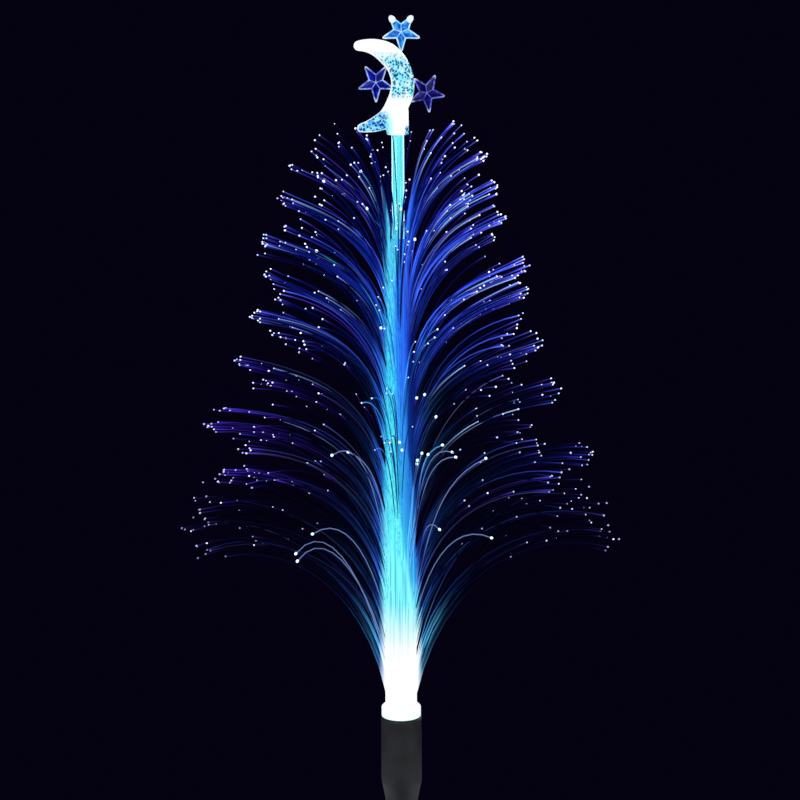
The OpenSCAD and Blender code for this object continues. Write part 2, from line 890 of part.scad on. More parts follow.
module battery_cover() {
    plate_w = back_w - cover_seal_thickness - cover_thickness;
    color("#1c1d20")
        on_panel()
            difference() {
                union() {
                    translate([0, bay_v, plate_w])
                        rounded_plate(2 * cover_half_length, 2 * cover_half_width, cover_thickness, cover_corner);
                    for (side = [-1, 1])
                        difference() {
                            translate([side * saddle_u - saddle_width / 2, bay_v - bay_half_width + 0.6, plate_w])
                                cube([saddle_width, 2 * bay_half_width - 1.2, floor_w + saddle_height - plate_w]);
                            translate([-battery_length, bay_v, battery_w])
                                rotate([0, 90, 0])
                                    cylinder(h = 2 * battery_length, r = battery_d / 2 + running_gap);
                        }
                }
                for (side = [-1, 1])
                    translate([side * cover_screw_u, bay_v, plate_w - 1])
                        cylinder(h = cover_thickness + 2, r = screw_hole_r);
            }
}

module cover_seal() {
    color("#0c0c0d")
        on_panel()
            difference() {
                translate([0, bay_v, back_w - cover_seal_thickness])
                    rounded_plate(2 * cover_half_length, 2 * cover_half_width, cover_seal_thickness, cover_corner);
                translate([-bay_half_length, bay_v - bay_half_width, back_w - 2])
                    cube([2 * bay_half_length, 2 * bay_half_width, 4]);
                for (side = [-1, 1])
                    translate([side * cover_screw_u, bay_v, back_w - 2])
                        cylinder(h = 4, r = screw_hole_r);
            }
}

module cover_screws() {
    color("#b9bcc2")
        on_panel()
            for (side = [-1, 1])
                translate([side * cover_screw_u, bay_v, back_w - cover_seal_thickness - cover_thickness])
                    screw(cover_thickness + cover_seal_thickness + back_wall + 2);
}

module switch_body() {
    color("#2b2c30")
        on_panel()
            translate([button_u - switch_size / 2, board_v - switch_size / 2, switch_w])
                cube([switch_size, switch_size, board_w - switch_w]);
}

module button_ring() {
    ring_height = 1.2;
    color("#0f0f10")
        on_panel()
            translate([button_u, board_v, back_w - ring_height])
                ring(button_r + 2.4, button_r + slip_gap, ring_height);
}

module lead_gland() {
    color("#131315")
        on_panel()
            translate([gland_u, board_v, 0])
                difference() {
                    union() {
                        translate([0, 0, back_w - gland_hex_height])
                            cylinder(h = gland_hex_height, d = gland_hex_d, $fn = 6);
                        translate([0, 0, back_w - gland_hex_height - gland_nose_height])
                            cylinder(h = gland_nose_height, r1 = gland_nose_r - 1, r2 = gland_nose_r);
                        translate([0, 0, back_w - 0.5])
                            cylinder(h = back_wall + 1, r = gland_shank_r);
                    }
                    translate([0, 0, back_w - gland_hex_height - gland_nose_height - 1])
                        cylinder(h = 3 * hinge_offset, r = gland_bore_r);
                }
}

module hinge_bolt() {
    color("#a9adb4")
        on_panel()
            rotate([0, 90, 0]) {
                translate([0, 0, -ear_end])
                    cylinder(h = 2 * ear_end + press_gap + knob_length - 2, r = bolt_r);
                translate([0, 0, -ear_end - bolt_head_height])
                    cylinder(h = bolt_head_height, d = bolt_head_d, $fn = 6);
            }
}

module tilt_knob() {
    color("#17181a")
        on_panel()
            translate([ear_end + press_gap, 0, 0])
                rotate([0, 90, 0])
                    difference() {
                        knob();
                        translate([0, 0, -1])
                            cylinder(h = knob_length - 0.6, r = turning_bore_r);
                    }
}

module power_button() {
    color("#c22a2a")
        on_panel()
            translate([button_u, board_v, 0]) {
                translate([0, 0, back_w - button_proud])
                    cylinder(h = button_proud + back_wall + slip_gap + button_flange, r = button_r);
                translate([0, 0, button_inner_w])
                    cylinder(h = button_flange, r = button_r + button_flange_extra);
            }
}

ground_spike();
pole();
pole_grommet();
lamp_head();
led_board();
led();
light_funnel();
head_seal();
collar();
fibre_root();
light_rod();
for (i = [1:tier_count])
    fibre_tier(i);
moon();
star_top();
star_left();
star_right();
swing_arm();
clamp_knob();
rear_shell();
front_frame();
solar_panel();
panel_gasket();
housing_screws();
circuit_board();
board_screws();
battery();
battery_contacts();
battery_cover();
cover_seal();
cover_screws();
switch_body();
button_ring();
lead_gland();
hinge_bolt();
tilt_knob();
power_button();
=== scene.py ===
import math
import random

import bmesh
import bpy
from mathutils import Matrix, Vector
from mathutils.geometry import interpolate_bezier


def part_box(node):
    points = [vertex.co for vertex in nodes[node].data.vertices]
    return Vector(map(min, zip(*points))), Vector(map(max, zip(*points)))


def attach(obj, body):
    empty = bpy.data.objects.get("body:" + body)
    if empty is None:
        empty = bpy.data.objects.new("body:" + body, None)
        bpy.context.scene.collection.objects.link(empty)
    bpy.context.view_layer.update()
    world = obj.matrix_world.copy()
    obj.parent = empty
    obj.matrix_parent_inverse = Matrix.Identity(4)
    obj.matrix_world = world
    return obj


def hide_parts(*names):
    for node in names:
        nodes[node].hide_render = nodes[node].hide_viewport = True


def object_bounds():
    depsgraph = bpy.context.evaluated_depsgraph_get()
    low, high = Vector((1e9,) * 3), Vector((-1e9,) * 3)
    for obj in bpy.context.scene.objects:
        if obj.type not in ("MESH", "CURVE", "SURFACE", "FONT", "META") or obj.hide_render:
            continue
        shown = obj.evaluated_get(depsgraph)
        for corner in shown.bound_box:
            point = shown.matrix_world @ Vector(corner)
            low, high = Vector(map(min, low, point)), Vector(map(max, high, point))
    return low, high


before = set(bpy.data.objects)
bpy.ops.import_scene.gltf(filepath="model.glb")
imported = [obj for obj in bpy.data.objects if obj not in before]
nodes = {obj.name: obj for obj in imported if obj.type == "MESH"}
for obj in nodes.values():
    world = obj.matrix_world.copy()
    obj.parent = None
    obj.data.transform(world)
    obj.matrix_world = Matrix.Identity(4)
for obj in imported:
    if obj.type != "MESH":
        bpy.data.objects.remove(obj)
cad_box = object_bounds()
scene = bpy.context.scene
chance = random.Random(41)
shares_drawn = random.Random(43)

MM = 0.001
UP = Vector((0.0, 0.0, 1.0))

# Heights and radii of the tree, in metres, as the solids have them
COLLAR_FOOT, TREE_FOOT, COLUMN_TOP, STEM_FOOT = 0.200, 0.208, 0.583, 0.5685
COLLAR_BORE, COLLAR_FIT_R, COLLAR_R = 0.0097, 0.0109, 0.0125
COLUMN_TAPER, TAPER_RUN = 0.0040, 0.293
ROD_R, ROD_LIGHT_R, MOON_R = 0.00375, 0.0024, 0.0256

# The scene's own fibres: radii, shape of the ends, share of the length in the column, own share of light
FIBRE_R, TIP_R, STRAY_TIP_R, TIP_STRETCH = 0.00031, (0.00040, 0.00062), 0.00094, 1.25
COLUMN_SHARE = 0.2
LIGHT_SHARE, STRAY_SHARE = "light_share", 0.12

# The solar box's own frame: across, up the slope, out of the panel
ARM_REACH, ARM_Z, PANEL_TILT = 0.052, 0.085, math.radians(40)
PANEL_PLACE = Matrix.Translation((0, -ARM_REACH, ARM_Z)) @ Matrix.Rotation(PANEL_TILT, 4, "X")
PART_LINE, FINGER_STEP = 0.031, 0.0016

WHITE, DARK = (1.0, 1.0, 1.0), (0.0, 0.0, 0.0)
BACKDROP = (0.0014, 0.0006, 0.0056)
COLOUR, NUMBER = "NodeSocketColor", "NodeSocketFloat"


def with_values(thing, **settings):
    """Sets attributes of new data and returns it."""
    for name, value in settings.items():
        setattr(thing, name, value)
    return thing


def added(name, data):
    """A new object in the scene."""
    made = bpy.data.objects.new(name, data)
    scene.collection.objects.link(made)
    return made


class Graph:
    """The nodes of a material or group; a value can be a socket or a constant."""

    def __init__(self, tree):
        self.tree = tree

    def place(self, kind, **settings):
        return with_values(self.tree.nodes.new("ShaderNode" + kind), **settings)

    def plug(self, socket, value):
        if isinstance(value, bpy.types.NodeSocket):
            self.tree.links.new(value, socket)
        else:
            socket.default_value = value

    def feed(self, target, **values):
        """Fills a node's inputs by name; an underscore stands for a space."""
        for name, value in values.items():
            self.plug(target.inputs[name.replace("_", " ")], value)

    def computed(self, kind, operation, values):
        made = self.place(kind, operation=operation)
        for socket, value in zip(made.inputs, values):
            self.plug(socket, value)
        return made.outputs

    def sums(self, operation, *values):
        return self.computed("Math", operation, values)[0]

    def vectors(self, operation, *values):
        return self.computed("VectorMath", operation, values)

    def times(self, product, *factors):
        for factor in factors:
            product = self.sums("MULTIPLY", product, factor)
        return product

    def fade(self, value, low, high, to_low=0.0, to_high=1.0):
        """Maps a range onto another, held at its ends."""
        made = self.place("MapRange")
        self.feed(made, Value=value, From_Min=low, From_Max=high, To_Min=to_low, To_Max=to_high)
        return made.outputs["Result"]

    def ramp(self, value, *stops):
        """A colour ramp; each stop is a place and a colour."""
        made = self.place("ValToRGB")
        points = made.color_ramp.elements
        while len(points) < len(stops):
            points.new(1.0)
        for point, (at, colour) in zip(points, stops):
            point.position = at
            point.color = (*colour, 1.0)
        self.feed(made, Fac=value)
        return made.outputs["Color"]

    def greys(self, value, *stops):
        """A ramp of greys, used as numbers."""
        return self.ramp(value, *((at, (grey,) * 3) for at, grey in stops))

    def mix(self, factor, first, second, mode="MIX"):
        made = self.place("Mix", data_type="RGBA", blend_type=mode)
        for number, value in ((0, factor), (6, first), (7, second)):
            self.plug(made.inputs[number], (*value, 1.0) if isinstance(value, tuple) else value)
        return made.outputs[2]

    def tinted(self, colour, tint):
        return self.mix(1.0, colour, tint, "MULTIPLY")

    def where(self):
        return self.place("TexCoord").outputs["Object"]

    def mapped(self, kind="POINT", **values):
        """Object coordinates, moved, turned or stretched."""
        made = self.place("Mapping", vector_type=kind)
        self.feed(made, Vector=self.where(), **values)
        return made.outputs["Vector"]

    def axes(self, vector=None):
        """The three parts of a vector, or of the object coordinates."""
        split = self.place("SeparateXYZ")
        self.plug(split.inputs[0], vector or self.where())
        return split.outputs

    def spread(self, across, deep):
        """Distance from the upright axis."""
        flat = self.place("CombineXYZ")
        self.feed(flat, X=across, Y=deep)
        return self.vectors("LENGTH", flat.outputs[0])["Value"]

    def noise(self, where, scale, detail=4.0, roughness=0.55):
        made = self.place("TexNoise")
        self.feed(made, Vector=where, Scale=scale, Detail=detail, Roughness=roughness)
        return made.outputs["Fac"]

    def cells(self, where, scale):
        """Distance from the middle of a random cell, and the cell's own random shares."""
        made = self.place("TexVoronoi", feature="F1")
        self.feed(made, Vector=where, Scale=scale)
        pick = self.place("SeparateColor")
        self.plug(pick.inputs[0], made.outputs["Color"])
        return made.outputs["Distance"], pick.outputs

    def use(self, group, **values):
        made = self.place("Group", node_tree=group)
        self.feed(made, **values)
        return made.outputs


class Finish(Graph):
    """A material; its constant values sit on the shader's own sockets."""

    def __init__(self, name, **sockets):
        self.material = bpy.data.materials.new(name)
        self.material.use_nodes = True
        super().__init__(self.material.node_tree)
        self.shader = self.tree.nodes["Principled BSDF"]
        self.look(**sockets)

    def look(self, **sockets):
        self.feed(self.shader, **sockets)
        return self.material

    def bumped(self, height, strength, distance):
        bump = self.place("Bump")
        self.feed(bump, Height=height, Strength=strength, Distance=distance)
        return self.look(Normal=bump.outputs["Normal"])


def new_group(name, inputs, outputs):
    group = bpy.data.node_groups.new(name, "ShaderNodeTree")
    for label, kind, value in inputs:
        group.interface.new_socket(label, in_out="INPUT", socket_type=kind).default_value = value
    for label, kind in outputs:
        group.interface.new_socket(label, in_out="OUTPUT", socket_type=kind)
    return Graph(group), group.nodes.new("NodeGroupInput").outputs, group.nodes.new("NodeGroupOutput").inputs


def moulded_skin_group():
    """Fine spark grain of moulded plastic, with faint drifts of colour and gloss."""
    g, given, out = new_group(
        "moulded_skin",
        [("Colour", COLOUR, (0.03, 0.03, 0.03, 1)), ("Grain", NUMBER, 2600.0), ("Dull", NUMBER, 0.55),
         ("Bright", NUMBER, 0.36)],
        [("Colour", COLOUR), ("Roughness", NUMBER), ("Height", NUMBER)])
    where = g.where()
    drift, handled = g.noise(where, 38.0, 5.0), g.noise(where, 120.0, 6.0, 0.7)
    lifted = g.tinted(given["Colour"], (1.9, 1.9, 2.0))
    g.plug(out["Colour"], g.mix(g.fade(drift, 0.42, 0.75), given["Colour"], lifted))
    g.plug(out["Roughness"], g.fade(handled, 0.3, 0.7, given["Bright"], given["Dull"]))
    g.plug(out["Height"], g.noise(where, given["Grain"], 2.0))
    return g.tree


def fibre_light_group():
    """Light carried by the fibres: white at the foot, cyan up the column, deep blue along each arch and pale
    at its end. Places across, in depth and in height are in metres; up and along run from 0 to 1."""
    g, given, out = new_group(
        "fibre_light",
        [("Tint", COLOUR, (0.1, 0.2, 1, 1)), ("Tinted", NUMBER, 0.0), ("Power", NUMBER, 1.0),
         ("Spark", NUMBER, 0.0)],
        [("Colour", COLOUR)])
    across, deep, height = g.axes()
    length = g.axes(g.place("UVMap", uv_map="UVMap").outputs[0])["X"]
    along = g.fade(length, COLUMN_SHARE, 1.0)
    up = g.fade(height, TREE_FOOT, COLUMN_TOP)

    # The column: cyan on the left, blue beyond an edge that wanders with the height, and fine dark lines
    cool = g.ramp(up, (0.0, WHITE), (0.10, (0.94, 1.0, 1.0)), (0.18, (0.24, 0.92, 0.96)),
                  (0.32, (0.16, 0.96, 0.98)), (0.44, (0.09, 0.84, 0.92)), (0.56, (0.06, 0.70, 0.90)),
                  (0.70, (0.09, 0.72, 0.92)), (1.0, (0.09, 0.56, 0.86)))
    far_left = g.times(g.fade(across, -0.0070, -0.0118), g.fade(up, 0.22, 0.40))
    cool = g.mix(far_left, cool, (0.030, 0.24, 0.76))
    edge = g.greys(up, (0.18, 0.90), (0.27, 0.62), (0.36, 0.45), (0.50, 0.37), (0.70, 0.36), (0.80, 0.50),
                   (0.90, 0.80))
    beyond = g.sums("SUBTRACT", g.fade(across, -0.010, 0.010), edge)
    past = g.fade(beyond, 0.0, 0.60)
    right = g.ramp(past, (0.0, (0.030, 0.26, 0.94)), (0.48, (0.018, 0.15, 0.88)),
                   (0.66, (0.012, 0.055, 0.52)), (1.0, (0.008, 0.026, 0.28)))
    lower = g.ramp(past, (0.0, (0.050, 0.56, 0.86)), (0.35, (0.030, 0.32, 0.80)),
                   (0.70, (0.016, 0.15, 0.60)), (1.0, (0.008, 0.06, 0.30)))
    right = g.mix(g.fade(height, 0.36, 0.42), lower, right)
    upright = g.fade(g.noise(g.mapped(Scale=(1.0, 1.0, 0.010)), 1500.0, 2.0), 0.38, 0.50)
    leaning = g.mapped("TEXTURE", Rotation=(0.0, math.radians(-12.0), 0.0), Scale=(1.0, 1.0, 90.0))
    slanted = g.fade(g.noise(leaning, 1700.0, 1.0), 0.39, 0.47)
    left = g.times(g.fade(across, 0.0030, 0.0), g.fade(up, 0.24, 0.36))
    lines = g.times(upright, g.mix(left, WHITE, slanted))
    column = g.mix(g.times(g.fade(beyond, -0.04, 0.05), g.fade(up, 0.13, 0.22)), cool, right)
    lined = g.mix(lines, g.tinted(column, (0.16, 0.44, 0.68)), column)
    lined = g.mix(g.fade(up, 0.07, 0.18, 0.0, 0.85), column, lined)

    # The arches: dark low down, violet towards the ends in the middle, blue above and more so on the right
    roots = [(0.0, (0.016, 0.13, 0.50)), (0.10, (0.008, 0.048, 0.22)), (0.25, (0.003, 0.014, 0.066)),
             (0.45, (0.0012, 0.003, 0.017))]
    low = g.ramp(along, *roots, (0.75, (0.0012, 0.0016, 0.011)), (0.92, (0.0018, 0.0016, 0.014)),
                 (1.0, (0.012, 0.009, 0.070)))
    middle = g.ramp(along, *roots, (0.72, (0.0022, 0.0020, 0.022)), (0.90, (0.008, 0.0035, 0.085)),
                    (1.0, (0.050, 0.022, 0.42)))
    high = g.ramp(along, (0.0, (0.022, 0.18, 0.80)), (0.10, (0.015, 0.075, 0.54)),
                  (0.25, (0.009, 0.033, 0.37)), (0.50, (0.006, 0.017, 0.24)), (0.72, (0.006, 0.012, 0.19)),
                  (0.90, (0.012, 0.015, 0.22)), (1.0, (0.085, 0.095, 0.70)))
    side = g.ramp(g.fade(across, -0.030, 0.030), (0.0, (0.42, 0.46, 0.60)), (0.35, (0.75, 0.80, 0.85)),
                  (0.65, WHITE), (1.0, (1.35, 1.40, 1.45)))
    middle = g.mix(g.fade(across, 0.0, 0.05), middle, g.tinted(middle, (0.50, 1.40, 0.80)))
    arch = g.mix(g.fade(height, 0.338, 0.356), low, middle)
    arch = g.mix(g.fade(height, 0.41, 0.47), arch, g.tinted(high, side))

    # Where the arches leave the column, and where they are hot above the collar
    tight = g.times(g.spread(across, deep), g.fade(height, 0.42, 0.51, 1.0, 1.5))
    left_near = g.mix(g.fade(tight, 0.0085, 0.0118), (0.045, 0.40, 0.84), (0.022, 0.10, 0.58))
    left_near = g.mix(g.fade(height, 0.480, 0.508), left_near, (0.009, 0.028, 0.17))
    right_near = g.mix(g.fade(height, 0.44, 0.48), (0.006, 0.022, 0.22), (0.011, 0.052, 0.64))
    near = g.mix(g.fade(across, -0.0040, -0.0005), left_near, right_near)
    arch = g.mix(g.fade(tight, 0.0120, 0.0190), near, arch)
    hot = g.times(g.sums("POWER", g.fade(height, 0.228, 0.284, 1.0, 0.0), 1.6),
                  g.fade(g.sums("ABSOLUTE", deep), 0.002, 0.006, 1.0, 0.25))
    arch = g.mix(hot, arch, (0.12, 0.66, 0.90))
    wall = g.greys(up, (0.0, 1.00), (0.40, 0.90), (0.60, 0.76), (0.78, 0.60))
    off = g.sums("SUBTRACT", g.spread(across, g.times(deep, 0.55)), g.times(wall, 0.01))
    away = g.fade(off, 0.0006, 0.0044)
    joined = g.mix(away, lined, arch)

    # Each fibre's own share of light and its kind's tint
    own = g.place("Attribute", attribute_name=LIGHT_SHARE).outputs["Fac"]
    own = g.ramp(g.fade(own, -1.0, 1.0), (0.0, (0.16, 0.15, 0.24)), (0.5, (0.80, 0.80, 0.90)),
                 (0.8, (1.45, 1.40, 1.32)), (1.0, (2.40, 2.30, 1.90)))
    power = g.mix(away, WHITE, g.tinted(own, given["Power"]))
    tint = g.times(given["Tinted"], g.fade(height, 0.34, 0.47, 0.14, 1.0))
    shade = g.mix(tint, joined, g.mix(1.0, joined, given["Tint"], "SCREEN"))
    shade = g.tinted(shade, power)

    # Dark gaps beside the column, and sparks towards the ends
    rim = g.greys(up, (0.24, 0.525), (0.37, 0.45), (0.44, 0.24), (0.58, 0.25), (0.66, 0.34))
    outside = g.sums("SUBTRACT", across, g.times(rim, 0.02))
    gap = g.times(g.fade(outside, -0.0006, 0.0010), g.fade(outside, 0.0070, 0.0035),
                  g.fade(up, 0.20, 0.26), g.fade(up, 0.70, 0.62))
    crown = g.times(g.fade(across, -0.0062, -0.0078), g.fade(across, -0.0200, -0.0160),
                    g.fade(up, 0.72, 0.78))
    shade = g.mix(g.sums("MAXIMUM", gap, crown), shade, g.tinted(shade, (0.30, 0.26, 0.42)))
    spark = g.times(given["Spark"], g.sums("POWER", g.fade(along, 0.35, 0.96), 1.6),
                    g.fade(across, -0.03, 0.02, 0.40, 1.0))
    g.plug(out["Colour"], g.mix(spark, shade, (0.36, 0.62, 1.0)))
    return g.tree


def bubbles_group():
    """Small bubbles in clear cast plastic, of which a share shows."""
    g, given, out = new_group(
        "bubbles", [("Scale", NUMBER, 900.0), ("Fill", NUMBER, 0.3), ("Share", NUMBER, 0.6)],
        [("Mask", NUMBER), ("Tone", NUMBER), ("Height", NUMBER)])
    where = g.where()
    wobble = g.place("TexNoise")
    g.feed(wobble, Vector=where, Scale=700.0, Detail=2.0)
    shifted = g.vectors("MULTIPLY_ADD", wobble.outputs["Color"], (0.0010, 0.0010, 0.0010), where)[0]
    distance, pick = g.cells(shifted, given["Scale"])
    dots = g.fade(distance, given["Fill"], g.sums("ADD", given["Fill"], 0.16), 1.0, 0.0)
    g.plug(out["Mask"], g.times(dots, g.sums("LESS_THAN", pick[0], given["Share"])))
    g.plug(out["Tone"], pick[1])
    g.plug(out["Height"], distance)
    return g.tree


MOULDED = moulded_skin_group()
FIBRE_LIGHT = fibre_light_group()
BUBBLES = bubbles_group()


# Materials

def moulded_plastic(name, colour, grain, dull, bright, relief=0.25, depth=0.0002, **sockets):
    g = Finish(name, **sockets)
    skin = g.use(MOULDED, Colour=(*colour, 1), Grain=grain, Dull=dull, Bright=bright)
    g.look(Base_Color=skin["Colour"], Roughness=skin["Roughness"])
    return g.bumped(skin["Height"], relief, depth)


def lined_metal(name, colour, stretch):
    g = Finish(name, Metallic=1.0)
    lines = g.noise(g.mapped(Scale=stretch), 900.0, 3.0)
    spots = g.noise(g.where(), 300.0, 5.0)
    g.look(Base_Color=g.ramp(spots, (0.35, tuple(c * 0.82 for c in colour)), (0.65, colour)),
           Roughness=g.fade(lines, 0.3, 0.7, 0.22, 0.42))
    return g.bumped(lines, 0.12, 0.0001)


def lit_fibre(name, tint, tinted, power, spark=0.0):
    """One kind of fibre: plastic whose own light shows along its wall."""
    g = Finish(name, Roughness=0.3, Specular_IOR_Level=0.0, Emission_Strength=1.0)
    light = g.use(FIBRE_LIGHT, Tint=(*tint, 1), Tinted=tinted, Power=power, Spark=spark)["Colour"]
    return g.look(Emission_Color=light, Base_Color=g.tinted(light, (0.10, 0.10, 0.12)))


def fibre_end_light(name, low, high, *tones):
    """The polished ends: tones picked at random, and fainter below a height."""
    g = Finish(name, Roughness=0.3, Emission_Strength=1.0)
    where = g.where()
    pick = g.cells(where, 85.0)[1]
    strong = g.ramp(pick[0], *tones)
    faint = g.ramp(pick[1], (0.0, (0.03, 0.03, 0.12)), (0.45, (0.11, 0.11, 0.30)),
                   (0.75, (0.34, 0.36, 0.66)), (1.0, (0.90, 0.92, 1.0)))
    glow = g.mix(g.fade(g.axes(where)["Z"], low, high), faint, strong)
    return g.look(Emission_Color=glow, Base_Color=glow)


def collar_light():
    g = Finish("collar_light", Roughness=0.3, Emission_Strength=0.92, Coat_Weight=0.4)
    where = g.where()
    height = g.fade(g.axes(where)["Z"], COLLAR_FOOT - MM, TREE_FOOT)
    glow = g.ramp(height, (0.0, (0.42, 0.86, 1.0)), (0.22, (0.82, 0.97, 1.0)), (0.6, WHITE))
    cloudy = g.fade(g.noise(where, 240.0), 0.3, 0.75, 0.0, 0.35)
    return g.look(Emission_Color=g.mix(cloudy, glow, (0.86, 0.98, 1.0)),
                  Base_Color=(0.30, 0.36, 0.40, 1.0))


def rod_clear():
    """Clear acrylic with drawn-out haze, pale with caught light along its two sides near the top."""
    g = Finish("rod_clear", IOR=1.49, Transmission_Weight=1.0, Emission_Strength=1.0)
    across, _, height = g.axes()
    aside = g.fade(g.sums("ABSOLUTE", across), 0.0029, 0.0035)
    caught = g.times(aside, g.fade(height, 0.495, 0.530))
    haze = g.noise(g.mapped(Scale=(1.0, 1.0, 0.02)), 900.0, 3.0)
    return g.look(Emission_Color=g.mix(caught, DARK, (0.46, 0.82, 1.0)),
                  Roughness=g.fade(haze, 0.3, 0.7, 0.12, 0.26), Base_Color=(0.90, 0.985, 1.0, 1.0))


def rod_glow():
    """Streaks of light inside the rod."""
    g = Finish("rod_glow", Roughness=0.4, Emission_Strength=1.0)
    streaks = g.noise(g.mapped(Scale=(1.0, 1.0, 0.012)), 1500.0, 3.0)
    glow = g.ramp(streaks, (0.34, (0.02, 0.36, 0.48)), (0.46, (0.10, 0.78, 0.92)), (0.62, (0.18, 0.96, 1.0)))
    return g.look(Emission_Color=glow, Base_Color=(0.02, 0.10, 0.12, 1.0))


def moon_light():
    """Clear cast plastic full of bubbles: white where the light is strong, blue specks in the belly and the
    lower horn. Heights are from the stem's foot, in metres."""
    g = Finish("moon_light", Roughness=0.2, Specular_IOR_Level=0.3, Emission_Strength=1.0)
    across, deep, height = g.axes()
    height, inside = g.sums("SUBTRACT", height, STEM_FOOT), g.sums("ABSOLUTE", deep)
    filled = g.sums("MAXIMUM", g.fade(inside, 0.0016, 0.0032), g.fade(across, 0.0048, 0.0072))
    belly = g.times(g.fade(height, 0.021, 0.025), g.fade(height, 0.051, 0.044), filled)
    horn = g.times(g.fade(height, 0.0150, 0.0120), g.fade(across, -0.0050, -0.0080),
                   g.fade(inside, 0.0010, 0.0017))
    foot = g.times(g.fade(height, 0.0065, 0.0040), g.fade(across, 0.0040, 0.0052))
    flank = g.times(g.fade(height, 0.016, 0.008), g.fade(across, -0.0018, -0.0052),
                    g.fade(across, -0.0160, -0.0090, 0.10, 1.0))
    fine = g.use(BUBBLES, Scale=700.0, Fill=0.35, Share=0.88)
    broad = g.use(BUBBLES, Scale=430.0, Fill=0.26, Share=0.52)
    packed = g.use(BUBBLES, Scale=640.0, Fill=0.38, Share=0.86)
    clouds = g.fade(g.noise(g.where(), 300.0, 3.0), 0.44, 0.58)
    clear = g.times(belly, g.sums("SUBTRACT", 1.0, g.times(clouds, 0.6)))
    body = g.mix(clear, WHITE, (0.24, 0.84, 1.0))
    body = g.mix(flank, body, (0.38, 0.95, 1.0))
    low = g.sums("MAXIMUM", horn, foot)
    body = g.mix(low, body, g.ramp(packed["Tone"], (0.3, (0.04, 0.36, 0.90)), (0.8, (0.30, 0.86, 1.0))))
    speck = g.ramp(fine["Tone"], (0.2, (0.002, 0.035, 0.14)), (0.6, (0.0, 0.10, 0.30)),
                   (1.0, (0.0, 0.26, 0.55)))
    body = g.mix(g.times(g.sums("MAXIMUM", fine["Mask"], broad["Mask"]), belly), body, speck)
    glow = g.mix(g.times(packed["Mask"], low), body, (0.003, 0.022, 0.26))
    g.look(Emission_Color=glow, Base_Color=g.tinted(glow, (0.05, 0.06, 0.08)))
    return g.bumped(fine["Height"], 0.35, 0.0006)


def star_facet(name, deep, lit):
    """Half an arm of a clear star: dark and blue, with light caught in drifts. Given darker tones, it is the
    half of the arm in painted shade.
    """
    g = Finish(name, Roughness=0.3, Specular_IOR_Level=0.08, Emission_Strength=1.0)
    glow = g.ramp(g.noise(g.where(), 380.0, 3.0), (0.42, deep), (0.66, lit))
    return g.look(Emission_Color=glow, Base_Color=g.tinted(glow, (0.12, 0.12, 0.12)))


def star_edge(name, centre, dim, lit):
    """The rounded rim of a clear star, whiter towards its points."""
    g = Finish(name, Roughness=0.25, Specular_IOR_Level=0.15, Emission_Strength=1.0)
    where = g.where()
    offset = g.vectors("DISTANCE", where, centre)["Value"]
    drifts = g.ramp(g.noise(where, 330.0, 3.0), (0.40, dim), (0.62, lit))
    glow = g.mix(g.fade(offset, 0.0092, 0.0124), drifts, (0.82, 0.92, 1.0))
    return g.look(Emission_Color=glow, Base_Color=(0.02, 0.03, 0.06, 1.0))


def solar_cell():
    """A dark crystalline cell with fine silver fingers, under clear resin, in the solar box's own frame."""
    g = Finish("solar_cell", Roughness=0.28, Coat_Weight=1.0, Coat_Roughness=0.06)
    where = g.mapped("TEXTURE", Location=PANEL_PLACE.translation, Rotation=(PANEL_TILT, 0, 0))
    blue = g.ramp(g.cells(where, 260.0)[1][1], (0.0, (0.006, 0.010, 0.030)), (0.5, (0.010, 0.020, 0.062)),
                  (1.0, (0.016, 0.036, 0.110)))
    wave = g.sums("ABSOLUTE", g.sums("SINE", g.times(g.axes(where)["Y"], math.pi / FINGER_STEP)))
    finger = g.fade(wave, 0.10, 0.16, 0.55, 0.0)
    return g.look(Base_Color=g.mix(finger, blue, (0.22, 0.24, 0.28)))


def drifting(name, low, high, scale, rough_low, rough_high, **sockets):
    """A finish whose colour and gloss drift between two values."""
    g = Finish(name, **sockets)
    drift = g.noise(g.where(), scale, 5.0)
    g.look(Base_Color=g.ramp(drift, (0.3, low), (0.7, high)),
           Roughness=g.fade(drift, 0.3, 0.7, rough_low, rough_high))
    return g.bumped(drift, 0.08, 0.0002)


SHEEN = {"Specular_IOR_Level": 0.45}
BLACK = moulded_plastic("black_moulding", (0.013, 0.0135, 0.0155), 2600.0, 0.55, 0.36, **SHEEN)
SPIKE = moulded_plastic("spike_moulding", (0.015, 0.0155, 0.018), 1800.0, 0.62, 0.42, **SHEEN)
KNOB = moulded_plastic("knob_moulding", (0.010, 0.0105, 0.012), 3400.0, 0.66, 0.48, **SHEEN)
POLE = moulded_plastic("pole_enamel", (0.016, 0.017, 0.020), 700.0, 0.42, 0.26, 0.18, 0.0003,
                       Coat_Weight=0.35, Coat_Roughness=0.2)
STEEL = lined_metal("screw_steel", (0.60, 0.61, 0.63), (1.0, 6.0, 6.0))
NICKEL = lined_metal("contact_nickel", (0.74, 0.73, 0.70), (8.0, 1.0, 1.0))

